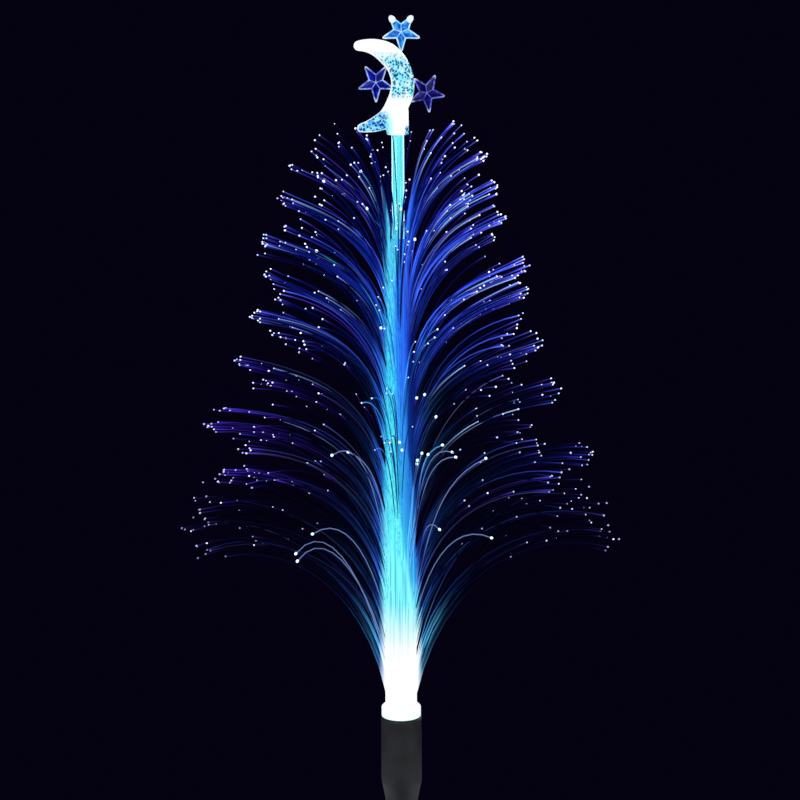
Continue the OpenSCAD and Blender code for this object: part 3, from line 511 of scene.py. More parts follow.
# The kinds of fibre: tint, how much of it, power of the light and share of sparks
FIBRES = [lit_fibre("fibre_" + kind, *light) for kind, *light in (
    ("blue", DARK, 0.0, 1.0), ("bright", (0.010, 0.024, 0.16), 1.0, 1.75),
    ("violet", (0.012, 0.002, 0.075), 1.0, 1.0), ("teal", (0.01, 0.30, 0.24), 1.0, 1.0),
    ("dim", DARK, 0.0, 0.36), ("cyan", (0.08, 0.34, 0.60), 8.0, 1.0),
    ("pale", (0.045, 0.048, 0.12), 1.0, 1.0), ("single", (0.13, 0.20, 0.40), 8.0, 1.0),
    ("front", (0.016, 0.17, 0.58), 1.5, 1.0), ("spark", DARK, 0.0, 1.0, 0.85))]
BRIGHT_KIND, DIM_KIND, FRONT_KIND, SPARK_KIND = 1, 4, 8, 9
FIBRE_END = fibre_end_light("fibre_end", 0.31, 0.44, (0.0, (0.90, 0.93, 1.0)), (0.45, (0.66, 0.72, 1.0)),
                            (0.70, (0.46, 0.47, 1.0)), (0.90, (0.50, 0.92, 1.0)), (1.0, (0.72, 0.48, 1.0)))
STRAY_END = fibre_end_light("stray_end", 0.20, 0.26, (0.0, (0.80, 1.0, 1.0)), (0.6, (0.56, 0.97, 1.0)),
                            (1.0, (0.92, 0.97, 1.0)))
COLLAR, ROD_CLEAR, ROD_GLOW, MOON, CELL = collar_light(), rod_clear(), rod_glow(), moon_light(), solar_cell()
STAR_LUMP = star_edge("star_lump", (0, 0, 0), (0.7, 0.9, 1.0), WHITE)

RUBBER = drifting("soft_rubber", (0.012, 0.012, 0.013), (0.026, 0.026, 0.028), 420.0, 0.62, 0.85)
BOARD_WHITE = drifting("board_white", (0.72, 0.72, 0.69), (0.84, 0.84, 0.81), 300.0, 0.35, 0.5)
BOARD_GREEN = drifting("board_green", (0.020, 0.15, 0.055), (0.035, 0.23, 0.09), 500.0, 0.3, 0.5)
FUNNEL = drifting("funnel_white", (0.82, 0.84, 0.86), (0.90, 0.92, 0.94), 260.0, 0.12, 0.25)
LENS = drifting("led_lens", (0.90, 0.84, 0.50), (0.96, 0.92, 0.66), 900.0, 0.05, 0.12)
WRAP = drifting("battery_wrap", (0.035, 0.26, 0.11), (0.06, 0.36, 0.17), 120.0, 0.2, 0.4)
SWITCH = drifting("switch_plastic", (0.04, 0.04, 0.045), (0.06, 0.06, 0.066), 700.0, 0.5, 0.7)
BUTTON = drifting("button_red", (0.42, 0.022, 0.018), (0.55, 0.034, 0.028), 360.0, 0.45, 0.65)
BACKING = drifting("cell_backing", (0.030, 0.034, 0.045), (0.045, 0.050, 0.062), 200.0, 0.3, 0.45)
BUSBAR = drifting("busbar_silver", (0.46, 0.47, 0.50), (0.60, 0.61, 0.64), 700.0, 0.35, 0.5, Metallic=0.25)


# Making pieces

def keep(name, bm, body, materials, replaces, sharp):
    """Turns a bmesh into a finished piece that rides on a body; its edges are sharp above an angle."""
    bmesh.ops.recalc_face_normals(bm, faces=bm.faces)
    mesh = bpy.data.meshes.new(name)
    bm.to_mesh(mesh)
    bm.free()
    for material in materials:
        mesh.materials.append(material)
    mesh.shade_smooth()
    mesh.set_sharp_from_angle(angle=math.radians(sharp))
    piece = added(name, mesh)
    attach(piece, body)
    if replaces:
        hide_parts(*replaces)
    return piece


def turned(bm, profile, steps):
    """Spins a profile of radius and height, in metres, about the upright axis."""
    verts = [bm.verts.new((r, 0.0, z)) for r, z in profile]
    edges = [bm.edges.new(pair) for pair in zip(verts, verts[1:])]
    bmesh.ops.spin(bm, geom=verts + edges, cent=(0, 0, 0), axis=(0, 0, 1), angle=math.tau, steps=steps,
                   use_merge=True)
    bmesh.ops.remove_doubles(bm, verts=bm.verts, dist=1e-7)


def bevelled(bm, edges, width, segments=2):
    return bmesh.ops.bevel(bm, geom=list(edges), offset=width, offset_type="OFFSET", segments=segments,
                           profile=0.5, affect="EDGES", clamp_overlap=True, material=-1)


def painted(verts, material):
    """Gives the faces at some verts a material."""
    for face in {f for v in verts for f in v.link_faces}:
        face.material_index = material


def block(bm, size, at, material):
    """A box of a size, centred at a point; returns its verts."""
    matrix = Matrix.Translation(at) @ Matrix.Diagonal((*size, 1.0))
    verts = bmesh.ops.create_cube(bm, size=1.0, matrix=matrix)["verts"]
    painted(verts, material)
    return verts


def new_curve(name, radius, rounding):
    return with_values(bpy.data.curves.new(name, "CURVE"), dimensions="3D", bevel_depth=radius,
                       bevel_resolution=rounding, use_fill_caps=True)


def swept(name, curve):
    """The mesh that a curve sweeps."""
    holder = added(name, curve)
    bpy.context.view_layer.update()
    mesh = bpy.data.meshes.new_from_object(holder.evaluated_get(bpy.context.evaluated_depsgraph_get()))
    bpy.data.objects.remove(holder)
    bm = bmesh.new()
    bm.from_mesh(mesh)
    return bm


def softened(node, body, material, width, angle=40.0):
    """A copy of a CAD solid with its edges rounded, shown in its place."""
    bm = bmesh.new()
    bm.from_mesh(nodes[node].data)
    bmesh.ops.remove_doubles(bm, verts=bm.verts, dist=2e-6)
    bmesh.ops.dissolve_limit(bm, angle_limit=math.radians(0.6), verts=bm.verts, edges=bm.edges)
    piece = keep(node + "_soft", bm, body, [material], [node], 50.0)
    with_values(piece.modifiers.new("edge", "BEVEL"), width=width, segments=2, limit_method="ANGLE",
                angle_limit=math.radians(angle))


# The tree

# Lobes at the two sides, in millimetres and degrees: tier, turn from that side, reach, height and depth of
# the tips, tip lean, kind of fibre, how many
RIGHT_LOBES = [
    (1, 0, 142, 312, 7, 103, 0, 9), (2, 0, 135, 337, 10, 100, 0, 9), (2, 4, 115, 344, 8, 94, 4, 7),
    (2, -6, 104, 356, 9, 86, 2, 9), (3, 0, 126, 367, 10, 95, 0, 18), (3, -14, 91, 378, 6, 84, 6, 5),
    (4, 0, 102, 411, 15, 77, 0, 18), (5, 0, 85, 431, 4, 72, 2, 3), (5, -4, 91, 442, 11, 70, 0, 15),
    (6, 0, 82, 454, 5, 66, 2, 3), (6, -8, 81, 472, 12, 68, 0, 16), (7, 0, 81, 488, 11, 68, 1, 17),
    (8, 8, 63, 505, 4, 64, 6, 3), (8, 0, 68, 517, 7, 68, 1, 16), (9, -10, 61, 525, 4, 66, 6, 4),
    (9, 0, 64, 536, 9, 66, 1, 16), (9, -24, 44, 532, 5, 58, 1, 8), (10, 0, 56, 556, 5, 62, 2, 15),
    (10, 6, 50, 565, 2, 56, 4, 4), (10, 12, 36, 575, 3, 44, 2, 5), (10, -20, 25, 572, 3, 32, 2, 3)]
LEFT_LOBES = [
    (1, 0, 140, 325, 6, 104, 4, 8), (1, 5, 130, 316, 4, 108, 0, 6), (2, 0, 135, 337, 7, 94, 4, 8),
    (2, -4, 131, 348, 6, 92, 4, 6), (3, 0, 115, 361, 9, 90, 2, 15), (3, 8, 104, 378, 10, 87, 6, 10),
    (4, 0, 125, 387, 9, 92, 2, 13), (4, -4, 118, 397, 5, 88, 2, 9), (4, 14, 85, 404, 2, 78, 6, 2),
    (5, 0, 106, 427, 11, 79, 0, 15), (5, 10, 88, 416, 7, 82, 0, 9), (6, 0, 95, 459, 10, 80, 0, 15),
    (6, 6, 83, 449, 6, 80, 4, 7), (7, 0, 87, 482, 8, 66, 0, 14), (7, 8, 79, 468, 5, 66, 4, 6),
    (8, 0, 87, 504, 9, 70, 0, 20), (8, 12, 92, 498, 2, 74, 4, 3), (8, -10, 75, 511, 3, 68, 0, 5),
    (9, 0, 75, 530, 9, 66, 0, 17), (10, 0, 70, 549, 6, 66, 0, 11), (9, 8, 52, 545, 6, 60, 2, 10),
    (10, -8, 57, 556, 3, 44, 2, 4), (10, -20, 44, 561, 2, 38, 2, 3), (9, 20, 32, 551, 3, 44, 6, 3),
    (10, -10, 28, 571, 4, 36, 0, 7), (10, 6, 20, 567, 3, 28, 0, 6)]

# How far a lobe's tips rise above where it leaves the column, and how much less at the top
LOBE_RISE, RISE_LOSS, LOW_TIP, TIP_SPAN = 84, 24, 304, 260

# The other tufts follow the solids: values of the lowest and the top tier, in millimetres and degrees
TIERS, TUFTS = 10, 8
LEAVE_Z, REACH, RISE, TIP_LEAN = (220, 487), (140, 60), (96, 78), (102, 60)
LOW_LIFT, CROWN_LOP, TUFT_FULL, TUFT_CUT = 6, 0.12, 4, 2
OPEN_TIERS, LOW_GATHER, TUFT_SWAY, TIER_TURN = 3, 24, 9, 137.5
SIDE_TUFTS, FRONT_TUFT, FRONT_TIERS = (0, 4), 6, 7

# Inside a tuft: layers of fibres, what each one adds, run up the column and lowest start, cuts and kinds
LAYERS, LAYER_FAN, LEAVE_STEP, TIP_STEP, LAYER_LESS, LAYER_LEAN = 3, 3.5, 4, 6, 0.04, 2
FAN_SPREAD, FAN_BACK = 1.3, 0.3
COLUMN_RUN, COLUMN_START = 62, 206
CUT_SHORT, CUT_BIAS = 0.52, 1.3
OWN_KIND, KIND_WEIGHTS = 0.6, (34, 16, 14, 0, 30, 0, 6)
SPARKS, SPARK_FOOT, SPARK_RISE = 0.42, 380, 100

# A fibre's path: gap to the column, pull of the arch at its two ends, steps
COLUMN_GAP, LEAVE_PULL, TIP_PULL = 0.0002, 0.48, 0.33
COLUMN_STEPS, ARCH_STEPS = 3, 13

# Single bright fibres that leave the tufts: angle, leaving height, reach, tip height, tip lean and kind
STRAY_RUN, STRAY_LEAN = 30, 13
STRAYS = [
    (216, 230, 78.7, 317.2, 132, 7), (218, 234, 79.5, 313.2, 134, 7), (218, 258, 68, 328.4, 112, 7),
    (-46, 253, 79.5, 328.8, 100, 7), (-40, 270, 68.2, 375.2, 64, 7), (-45, 264, 34.5, 326.8, 124, 7),
    (222, 300, 55.5, 376.4, 112, 7), (212, 322, 37.5, 375, 66, 7), (-28, 312, 30, 378, 70, 5),
    (-50, 306, 49.8, 378, 95, 7), (-52, 299, 55.2, 376, 84, 7), (205, 470, 25, 547, 44, 3),
    (196, 440, 52, 499, 58, 3), (198, 500, 20, 524, 22, 3), (190, 482, 46, 541, 60, 2),
    (274, 300, 20, 376, 30, 1), (270, 312, 18, 380.5, 20, 1), (262, 470, 10, 512, 12, 1),
    (278, 480, 11, 524, 12, 1), (300, 440, 20, 506, 18, 1), (240, 390, 22, 452, 26, 1),
    (-61, 350, 22, 408.5, 30, 1), (-55, 352, 27, 411, 40, 1), (-60, 316, 27.3, 374.7, 30, 5),
    (-43, 316, 24, 372.5, 30, 5), (-62, 310, 23.2, 369.7, 22, 5), (-58, 306, 20.0, 366.7, 20, 5),
    (-35, 340, 27.5, 396, 40, 6)]


def by_tier(ends, tier):
    return ends[0] + (ends[1] - ends[0]) * (tier - 1) / (TIERS - 1)


def tuft_turn(tier, number):
    """Direction of a tuft round the tree, in degrees."""
    even = 360 * number / TUFTS
    low = max(0.0, 1 - (tier - 1) / OPEN_TIERS)
    return (even - LOW_GATHER * low * math.sin(math.radians(2 * even))
            + TUFT_SWAY * math.sin(math.radians(TIER_TURN * tier)))


def column_r(z):
    """Radius of the bundle at a height."""
    share = min(max((z - TREE_FOOT) / TAPER_RUN, 0.0), 1.0)
    return COLLAR_BORE - COLUMN_TAPER * share ** 2


def add_fibre(curve, kind, angle, start_z, leave_z, lean, sway, reach, tip_z, tip_lean, share=1.0):
    """A fibre that runs up the column, leaves it and arches out, cut at a share of its arch; returns its end
    and the way it points there."""
    out = Vector((math.cos(angle), math.sin(angle), 0.0))
    far = Vector((math.cos(angle + sway), math.sin(angle + sway), 0.0))
    leave = out * (column_r(leave_z) + COLUMN_GAP) + UP * leave_z
    tip = far * reach + UP * tip_z
    span = (tip - leave).length
    leave_way = out * math.sin(lean) + UP * math.cos(lean)
    tip_way = far * math.sin(tip_lean) + UP * math.cos(tip_lean)
    near, over = leave + leave_way * span * LEAVE_PULL, tip - tip_way * span * TIP_PULL
    first, middle, last = leave.lerp(near, share), near.lerp(over, share), over.lerp(tip, share)
    second, third = first.lerp(middle, share), middle.lerp(last, share)
    end = second.lerp(third, share)
    heights = [start_z + (leave_z - start_z) * k / COLUMN_STEPS for k in range(COLUMN_STEPS)]
    path = [out * column_r(z) + UP * z for z in heights]
    path += interpolate_bezier(leave, first, second, end, ARCH_STEPS)
    spline = curve.splines.new("POLY")
    spline.points.add(len(path) - 1)
    spline.material_index = kind
    for point, at in zip(spline.points, path):
        point.co = (*at, 1.0)
    return end, (third - second).normalized()


def fibre_curve(name):
    curve = new_curve(name, FIBRE_R, 0)
    for material in FIBRES:
        curve.materials.append(material)
    return curve


def spray(name, curve, tips, ends, replaces=()):
    """Turns a curve of fibres into one piece and sets a polished end on each fibre."""
    bm = swept(name + "_path", curve)
    share = bm.verts.layers.float.new(LIGHT_SHARE)
    verts_each = len(bm.verts) // len(curve.splines)
    shares = [shares_drawn.uniform(-1.0, 1.0) if replaces else STRAY_SHARE for _ in curve.splines]
    for number, vert in enumerate(bm.verts):
        vert[share] = shares[number // verts_each]
    for tip, way, size in tips:
        turn = way.to_track_quat("Z", "Y").to_matrix().to_4x4()
        matrix = Matrix.Translation(tip) @ turn @ Matrix.Diagonal((1, 1, TIP_STRETCH, 1))
        made = bmesh.ops.create_icosphere(bm, subdivisions=1, radius=size, matrix=matrix)
        painted(made["verts"], len(FIBRES))
    keep(name, bm, "post", FIBRES + [ends], replaces, 80.0)


def add_tuft(curve, tips, count, short, degrees, leave_z, reach, tip_z, tip_step, tip_lean, kind):
    """A tuft in millimetres and degrees, its fibres layered upwards; the last ones are cut short."""
    for number in range(count + short):
        layer = LAYERS * (number % count + chance.uniform(0.2, 0.8)) / count - LAYERS / 2
        share = 1.0 if number < count else 1 - CUT_SHORT * chance.random() ** CUT_BIAS
        fan = LAYER_FAN * layer + chance.uniform(-4.0, 4.0)
        leave = leave_z + LEAVE_STEP * layer + chance.uniform(-1.0, 1.0)
        mixed = chance.random() > OWN_KIND
        other = chance.choices(range(len(KIND_WEIGHTS)), weights=KIND_WEIGHTS)[0] if mixed else kind
        if (number >= count and kind != DIM_KIND
                and chance.random() < SPARKS * (tip_z - SPARK_FOOT) / SPARK_RISE):
            other = SPARK_KIND
        end, way = add_fibre(
            curve, kind if kind == FRONT_KIND else other, math.radians(degrees + fan * FAN_SPREAD),
            max(leave - COLUMN_RUN, COLUMN_START) * MM, leave * MM, math.radians(chance.uniform(8, 13)),
            math.radians(-fan * FAN_BACK + chance.uniform(-1.2, 1.2)),
            reach * (1 - LAYER_LESS * abs(layer)) * chance.uniform(0.95, 1.0) * MM,
            (tip_z + tip_step * layer + chance.uniform(-1.0, 1.0)) * MM,
            math.radians(tip_lean - LAYER_LEAN * layer + chance.uniform(-3, 3)), share)
        tips.append((end, way, chance.uniform(*TIP_R)))


def fibre_tier(tier):
    curve = fibre_curve("fibre_paths_%02d" % tier)
    tips = []
    for side, lobes in zip(SIDE_TUFTS, (RIGHT_LOBES, LEFT_LOBES)):
        for lobe_tier, turn, reach, tip_z, depth, tip_lean, kind, count in lobes:
            if lobe_tier == tier:
                full = (count + 1) // 2
                leave_z = tip_z - LOBE_RISE + RISE_LOSS * (tip_z - LOW_TIP) / TIP_SPAN
                add_tuft(curve, tips, full, count - full, tuft_turn(tier, side) + turn, leave_z, reach,
                         tip_z, depth / LAYERS, tip_lean, kind)
    for number in range(TUFTS):
        if number in SIDE_TUFTS or (tier <= OPEN_TIERS and number == FRONT_TUFT):
            continue
        degrees = tuft_turn(tier, number)
        lop = 1 - CROWN_LOP * (tier - 1) / (TIERS - 1) * math.cos(math.radians(degrees))
        leave_z = by_tier(LEAVE_Z, tier)
        add_tuft(curve, tips, TUFT_FULL, TUFT_CUT, degrees, leave_z, by_tier(REACH, tier) * lop,
                 leave_z + by_tier(RISE, tier) + (LOW_LIFT if tier == 1 else 0), TIP_STEP,
                 by_tier(TIP_LEAN, tier),
                 FRONT_KIND if number == FRONT_TUFT and tier <= FRONT_TIERS else DIM_KIND)
    spray("fibre_spray_%02d" % tier, curve, tips, FIBRE_END, ["fibre_tier_%02d" % tier])


def stray_fibres():
    curve = fibre_curve("stray_paths")
    tips = []
    for degrees, leave_z, reach, tip_z, lean, kind in STRAYS:
        tip, way = add_fibre(curve, kind, math.radians(degrees), (leave_z - STRAY_RUN) * MM, leave_z * MM,
                             math.radians(STRAY_LEAN), 0.0, reach * MM, tip_z * MM, math.radians(lean))
        tips.append((tip, way, STRAY_TIP_R))
    spray("stray_fibres", curve, tips, STRAY_END)


def bundle_core():
    """The packed fibres inside the column, fluted like the strands that make it."""
    core_r, sunk, flutes, flute_depth = 0.0041, 0.0004, 48, 0.022
    bm = bmesh.new()
    heights = [TREE_FOOT - 0.001 + 0.0105 * k for k in range(29)]
    turned(bm, [(core_r, heights[0])] + [(column_r(z) - sunk, z) for z in heights]
           + [(core_r, heights[-1] + 0.004)], 2 * flutes)
    for vert in bm.verts:
        ripple = 1.0 + flute_depth * math.cos(flutes * math.atan2(vert.co.y, vert.co.x))
        vert.co.x *= ripple
        vert.co.y *= ripple
    keep("bundle_core", bm, "post", [FIBRES[BRIGHT_KIND]], (), 80.0)


def collar_ring():
    foot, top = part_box("collar")[0][2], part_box("collar")[1][2]
    soft = 0.0003
    bm = bmesh.new()
    turned(bm, [(COLLAR_BORE, foot), (COLLAR_FIT_R, foot), (COLLAR_FIT_R, COLLAR_FOOT),
                (COLLAR_R - soft, COLLAR_FOOT), (COLLAR_R, COLLAR_FOOT + soft), (COLLAR_R, top - 0.0021),
                (0.01235, top - 0.0016), (0.0110, top - soft), (0.0105, top), (0.0099, top),
                (COLLAR_BORE, top - soft), (COLLAR_BORE, foot)], 72)
    keep("collar_ring", bm, "post", [COLLAR], ["collar"], 30.0)


def light_rod():
    foot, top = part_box("light_rod")[0][2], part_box("light_rod")[1][2]
    soft, wall = 0.0003, 0.0006
    bm = bmesh.new()
    turned(bm, [(0.0, foot), (0.0035, foot), (ROD_R, foot + soft), (ROD_R, top - soft), (0.0035, top),
                (0.0, top)], 40)
    keep("rod_shell", bm, "post", [ROD_CLEAR], ["light_rod"], 40.0)
    bm = bmesh.new()
    turned(bm, [(0.0, foot + wall), (ROD_LIGHT_R, foot + wall), (ROD_LIGHT_R, top - wall),
                (0.0, top - wall)], 24)
    keep("rod_light", bm, "post", [ROD_GLOW], (), 40.0)


# The crescent's middle line from its upper to its lower horn: across, up from the stem's foot, width
MOON_LINE = [
    (-26.5, 53.8, 0.8), (-26.4, 53.8, 3.4), (-24.6, 53.9, 6.2), (-18.9, 54.2, 7.9), (-12.9, 53.0, 10.6),
    (-6.6, 49.9, 13.7), (-0.9, 44.3, 13.9), (1.8, 38.6, 13.9), (3.5, 32.4, 14.5), (3.0, 26.9, 14.7),
    (1.4, 21.1, 14.5), (-4.7, 10.6, 12.8), (-13.4, 6.4, 9.6), (-19.1, 4.8, 6.8), (-23.2, 4.2, 5.4),
    (-24.7, 4.2, 3.2), (-24.8, 4.2, 0.8)]
# The stem's profile: radius, up from its foot
STEM = [(0.0, 0.0), (0.0062, 0.0), (0.0068, 0.0007), (0.0067, 0.014), (0.0060, 0.021), (0.0, 0.024)]
MOON_DEPTH = 0.72


def moon():
    """The crescent, swept along its middle line and fused with its stem."""
    curve = with_values(new_curve("moon_line", MM, 5), resolution_u=6)
    spline = curve.splines.new("NURBS")
    spline.points.add(len(MOON_LINE) - 1)
    with_values(spline, use_endpoint_u=True, order_u=3)
    for point, (across, up, width) in zip(spline.points, MOON_LINE):
        point.co = (across * MM, 0.0, STEM_FOOT + up * MM, 1.0)
        point.radius = width / 2
    bm = swept("moon_line", curve)
    bmesh.ops.scale(bm, verts=bm.verts, vec=(1.0, MOON_DEPTH, 1.0))
    stem = bmesh.new()
    turned(stem, [(r, STEM_FOOT + up) for r, up in STEM], 40)
    spare = bpy.data.meshes.new("stem")
    stem.to_mesh(spare)
    stem.free()
    bm.from_mesh(spare)
    piece = keep("moon_cast", bm, "post", [MOON], ["moon"], 80.0)
    with_values(piece.modifiers.new("fuse", "REMESH"), mode="VOXEL", voxel_size=0.00050,
                use_smooth_shade=True)
    with_values(piece.modifiers.new("even", "SMOOTH"), factor=0.5, iterations=5)


# A star's sizes: radii of points and notches, half thickness at rim and middle, then its finer parts
STAR_R, NOTCH_R, STAR_RIM, STAR_CROWN = 0.0141, 0.0051, 0.0010, 0.0030
POINT_ROUND, RIM_WIDTH, LINE_WIDTH, LUMP_R = 0.0038, 0.00085, 0.00022, 0.0021
STAR_TURNED, STAR_HOLD = 0.07, 0.011


def star(name, centre, turn, tones, rims, hold=0.0, lumps=False):
    """A clear star, point down: a bright rounded rim, and arms of two dark halves with bright lines between
    them, one half of each arm in darker tones as painted shade across its ridge. A held star is narrower,
    towards the side that holds it."""
    bm = bmesh.new()
    made = bmesh.ops.create_circle(bm, segments=10, radius=STAR_R,
                                   matrix=Matrix.Rotation(math.radians(90), 4, "X"))
    corners = sorted(made["verts"], key=lambda v: math.atan2(v.co.z, v.co.x))
    first = corners.index(min(corners, key=lambda v: v.co.z))
    corners = corners[first:] + corners[:first]
    for corner in corners[1::2]:
        corner.co *= NOTCH_R / STAR_R
    points = [corner.co.copy() for corner in corners[::2]]
    made = bmesh.ops.contextual_create(bm, geom=list(bm.edges))
    made = bmesh.ops.extrude_face_region(bm, geom=made["faces"])
    front = [g for g in made["geom"] if isinstance(g, bmesh.types.BMVert)]
    bmesh.ops.translate(bm, verts=front, vec=(0, -2 * STAR_RIM, 0))
    bmesh.ops.translate(bm, verts=bm.verts, vec=(0, STAR_RIM, 0))
    bevelled(bm, [e for e in bm.edges if abs(e.verts[0].co.y - e.verts[1].co.y) > STAR_RIM
                  and e.verts[0].co.xz.length > STAR_R * 0.8], POINT_ROUND, 5)
    for cap in [f for f in bm.faces if len(f.verts) > 8]:
        bmesh.ops.inset_region(bm, faces=[cap], thickness=RIM_WIDTH, use_even_offset=True)
        poked = bmesh.ops.poke(bm, faces=[cap])
        for vert in poked["verts"]:
            vert.co.y = math.copysign(STAR_CROWN, vert.co.y)
        for leaf in poked["faces"]:
            middle = leaf.calc_center_median()
            arm = max(points, key=lambda p: p.x * middle.x + p.z * middle.z)
            # One half of each arm takes the lighter finish and the other the darker one: painted shade
            # across the ridge
            leaf.material_index = 1 if arm.x * middle.z - arm.z * middle.x > 0 else 2
    valleys = [e for e in bm.edges if any(abs(abs(v.co.y) - STAR_CROWN) < 1e-7 for v in e.verts)
               and any(abs(v.co.y) < STAR_CROWN * 0.9 and v.co.xz.length < STAR_R * 0.6 for v in e.verts)]
    for face in bevelled(bm, valleys, LINE_WIDTH, 1)["faces"]:
        face.material_index = 0
    for at in [p for p in points if lumps and p.z > STAR_R * 0.5]:
        along = Matrix.Rotation(math.atan2(at.x, at.z), 4, "Y")
        matrix = Matrix.Translation(at * 0.64) @ along @ Matrix.Diagonal((0.95, 1.0, 1.35, 1))
        made = bmesh.ops.create_uvsphere(bm, u_segments=18, v_segments=12, radius=LUMP_R, matrix=matrix)
        painted(made["verts"], 3)
    bmesh.ops.rotate(bm, verts=bm.verts, cent=(0, 0, 0), matrix=Matrix.Rotation(-math.radians(turn), 3, "Y"))
    bmesh.ops.scale(bm, verts=bm.verts, vec=(1.0 - STAR_TURNED * abs(hold), 1.0, 1.0),
                    space=Matrix.Translation((-STAR_HOLD * hold, 0, 0)))
    bmesh.ops.translate(bm, verts=bm.verts, vec=centre)
    finishes = [star_edge(name + "_edge", centre, *rims), star_facet(name + "_facet", *tones[0]),
                star_facet(name + "_shade", *tones[1]), STAR_LUMP]
    keep(name + "_cast", bm, "post", finishes, [name], 20.0)


for tier in range(1, TIERS + 1):
    fibre_tier(tier)
stray_fibres()
bundle_core()
collar_ring()
light_rod()
moon()
# Each star's tones: dark and lit drifts of the lighter half of an arm, then of the half in painted shade;
# then its rim
star("star_top", (0.094 * MOON_R, 0, STEM_FOOT + 2.43 * MOON_R), 0,
     (((0.010, 0.13, 0.68), (0.06, 0.50, 0.87)), ((0.006, 0.06, 0.50), (0.03, 0.30, 0.80))),
     ((0.20, 0.62, 1.0), (0.75, 0.95, 1.0)), lumps=True)
star("star_left", (-0.543 * MOON_R, 0, STEM_FOOT + 1.242 * MOON_R), 0,
     (((0.0015, 0.0015, 0.10), (0.010, 0.012, 0.50)), ((0.001, 0.001, 0.045), (0.004, 0.004, 0.24))),
     ((0.05, 0.09, 0.60), (0.36, 0.55, 1.0)), 1)
star("star_right", (0.727 * MOON_R, 0, STEM_FOOT + 0.992 * MOON_R), 8,
     (((0.003, 0.0015, 0.045), (0.013, 0.007, 0.24)), ((0.002, 0.001, 0.025), (0.006, 0.003, 0.10))),
     ((0.016, 0.014, 0.22), (0.17, 0.20, 0.85)), -1)


# The post, the arm and the solar box

softened("ground_spike", "post", SPIKE, 0.0007)
softened("lamp_head", "post", BLACK, 0.0005)
softened("swing_arm", "arm", BLACK, 0.0008)
softened("rear_shell", "solar_box", BLACK, 0.0006, 50.0)
softened("front_frame", "solar_box", BLACK, 0.0008, 50.0)
softened("battery_cover", "solar_box", BLACK, 0.0004, 50.0)
softened("clamp_knob", "clamp_knob", KNOB, 0.0005)
softened("tilt_knob", "tilt_knob", KNOB, 0.0005)
softened("lead_gland", "solar_box", KNOB, 0.0004)
softened("power_button", "power_button", BUTTON, 0.0006)
softened("hinge_bolt", "solar_box", STEEL, 0.0003)


def solar_panel():
    """Ten cells in two rows on a dark backing, joined by busbars, under clear resin."""
    side, thick, cell_step, row_middle, lane = 0.060, 0.0017, 0.0106, 0.0132, 0.0064
    bm = bmesh.new()
    block(bm, (side, side, thick), (0, 0, PART_LINE + thick / 2), 0)
    bevelled(bm, bm.edges, 0.0002)
    top = PART_LINE + thick
    for row in (-row_middle, row_middle):
        for column in range(5):
            verts = block(bm, (0.0101, 0.0255, 0.00016), ((column - 2) * cell_step, row, top + 0.00006), 1)
            edges = {e for v in verts for e in v.link_edges}
            bevelled(bm, [e for e in edges if abs(e.verts[0].co.z - e.verts[1].co.z) > 1e-5], 0.0005)
        for offset in (-lane, lane):
            block(bm, (0.0530, 0.0008, 0.00012), (0, row + offset, top + 0.00019), 2)
    bmesh.ops.transform(bm, verts=bm.verts, matrix=PANEL_PLACE)
    keep("panel_cells", bm, "solar_box", [BACKING, CELL, BUSBAR], ["solar_panel"], 30.0)


solar_panel()

# CAD solids that stay in view get their better material
for node, material in {
        "pole": POLE, "pole_grommet": RUBBER, "led_board": BOARD_WHITE, "led": LENS, "light_funnel": FUNNEL,
        "head_seal": RUBBER, "fibre_root": FIBRES[BRIGHT_KIND], "panel_gasket": RUBBER,
        "housing_screws": STEEL, "circuit_board": BOARD_GREEN, "board_screws": STEEL, "battery": WRAP,
        "battery_contacts": NICKEL, "cover_seal": RUBBER, "cover_screws": STEEL, "switch_body": SWITCH,
        "button_ring": RUBBER}.items():
    finishes = nodes[node].data.materials
    finishes.clear()
    finishes.append(material)


# Stage, lights and camera

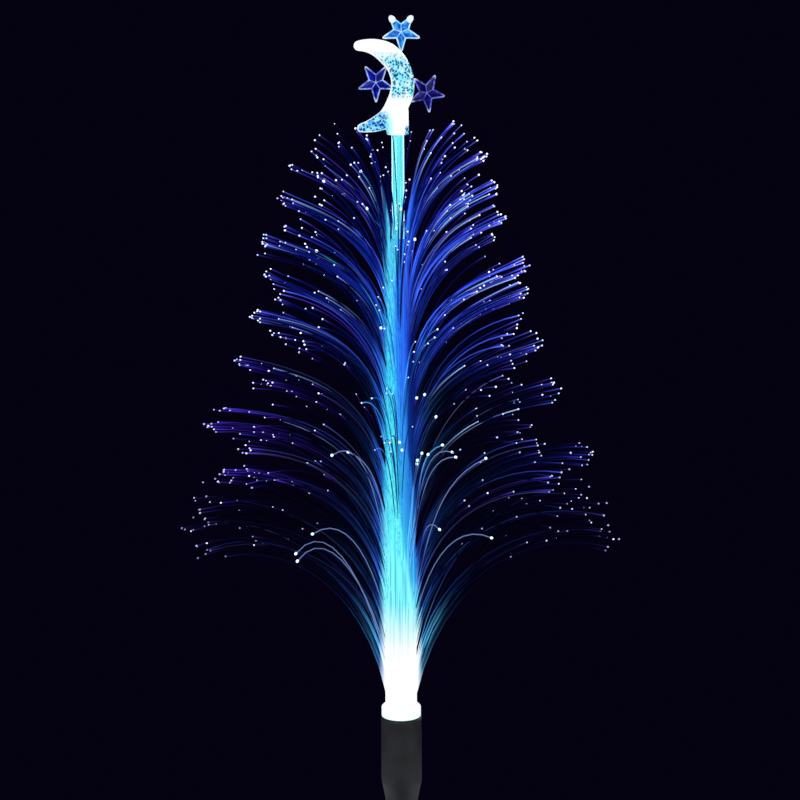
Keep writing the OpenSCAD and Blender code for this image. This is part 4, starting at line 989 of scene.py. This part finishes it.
def stage_floor():
    """A pale floor that melts into the backdrop's colour away from the light."""
    bm = bmesh.new()
    bmesh.ops.create_circle(bm, cap_ends=True, segments=96, radius=30.0,
                            matrix=Matrix.Translation((0, 0, cad_box[0][2] - 0.0004)))
    mesh = bpy.data.meshes.new("floor")
    bm.to_mesh(mesh)
    bm.free()
    floor = added("floor", mesh)
    g = Finish("pale_floor", Base_Color=(0.70, 0.71, 0.73, 1), Roughness=0.8)
    far = g.fade(g.vectors("LENGTH", g.where())["Value"], 0.45, 0.80)
    glow, mix = g.place("Emission"), g.place("MixShader")
    g.feed(glow, Color=(*BACKDROP, 1))
    for socket, value in zip(mix.inputs, (far, g.shader.outputs[0], glow.outputs[0])):
        g.plug(socket, value)
    g.feed(g.tree.nodes["Material Output"], Surface=mix.outputs[0])
    mesh.materials.append(g.material)


def studio_world():
    """Soft light from all round; the backdrop's colour where the sky is seen, mirrored or seen through."""
    world = bpy.data.worlds.new("studio")
    scene.world = world
    world.use_nodes = True
    g = Graph(world.node_tree)
    path = g.place("LightPath").outputs
    seen = g.sums("MAXIMUM", path["Is Camera Ray"],
                  g.sums("MAXIMUM", path["Is Glossy Ray"], path["Is Transmission Ray"]))
    g.feed(g.tree.nodes["Background"], Color=g.mix(seen, (0.62, 0.64, 0.68), BACKDROP))


def soft_light(name, at, target, size, watts):
    lamp = with_values(bpy.data.lights.new(name, "AREA"), shape="DISK", size=size, energy=watts)
    aim = (Vector(target) - Vector(at)).to_track_quat("-Z", "Y").to_euler()
    with_values(added(name, lamp), location=at, rotation_euler=aim)


stage_floor()
studio_world()
soft_light("key_light", (-1.1, -1.5, 1.5), (0, 0, 0.3), 0.9, 22)
soft_light("fill_light", (1.5, -1.1, 0.8), (0, 0, 0.25), 1.1, 9)
soft_light("rim_light", (0.7, 1.5, 1.3), (0, 0, 0.3), 0.8, 14)

SENSOR, FIELD, PITCH, ROLL = 36.0, math.radians(20.0), math.radians(80.5), math.radians(-0.345)
camera = with_values(bpy.data.cameras.new("camera"), sensor_width=SENSOR,
                     lens=SENSOR / 2 / math.tan(FIELD / 2), clip_end=100.0)
scene.camera = with_values(
    added("camera", camera), location=(0.0004, -1.395, 0.6375),
    rotation_euler=(Matrix.Rotation(PITCH, 3, "X") @ Matrix.Rotation(ROLL, 3, "Z")).to_euler())

scene.view_settings.view_transform = "Standard"
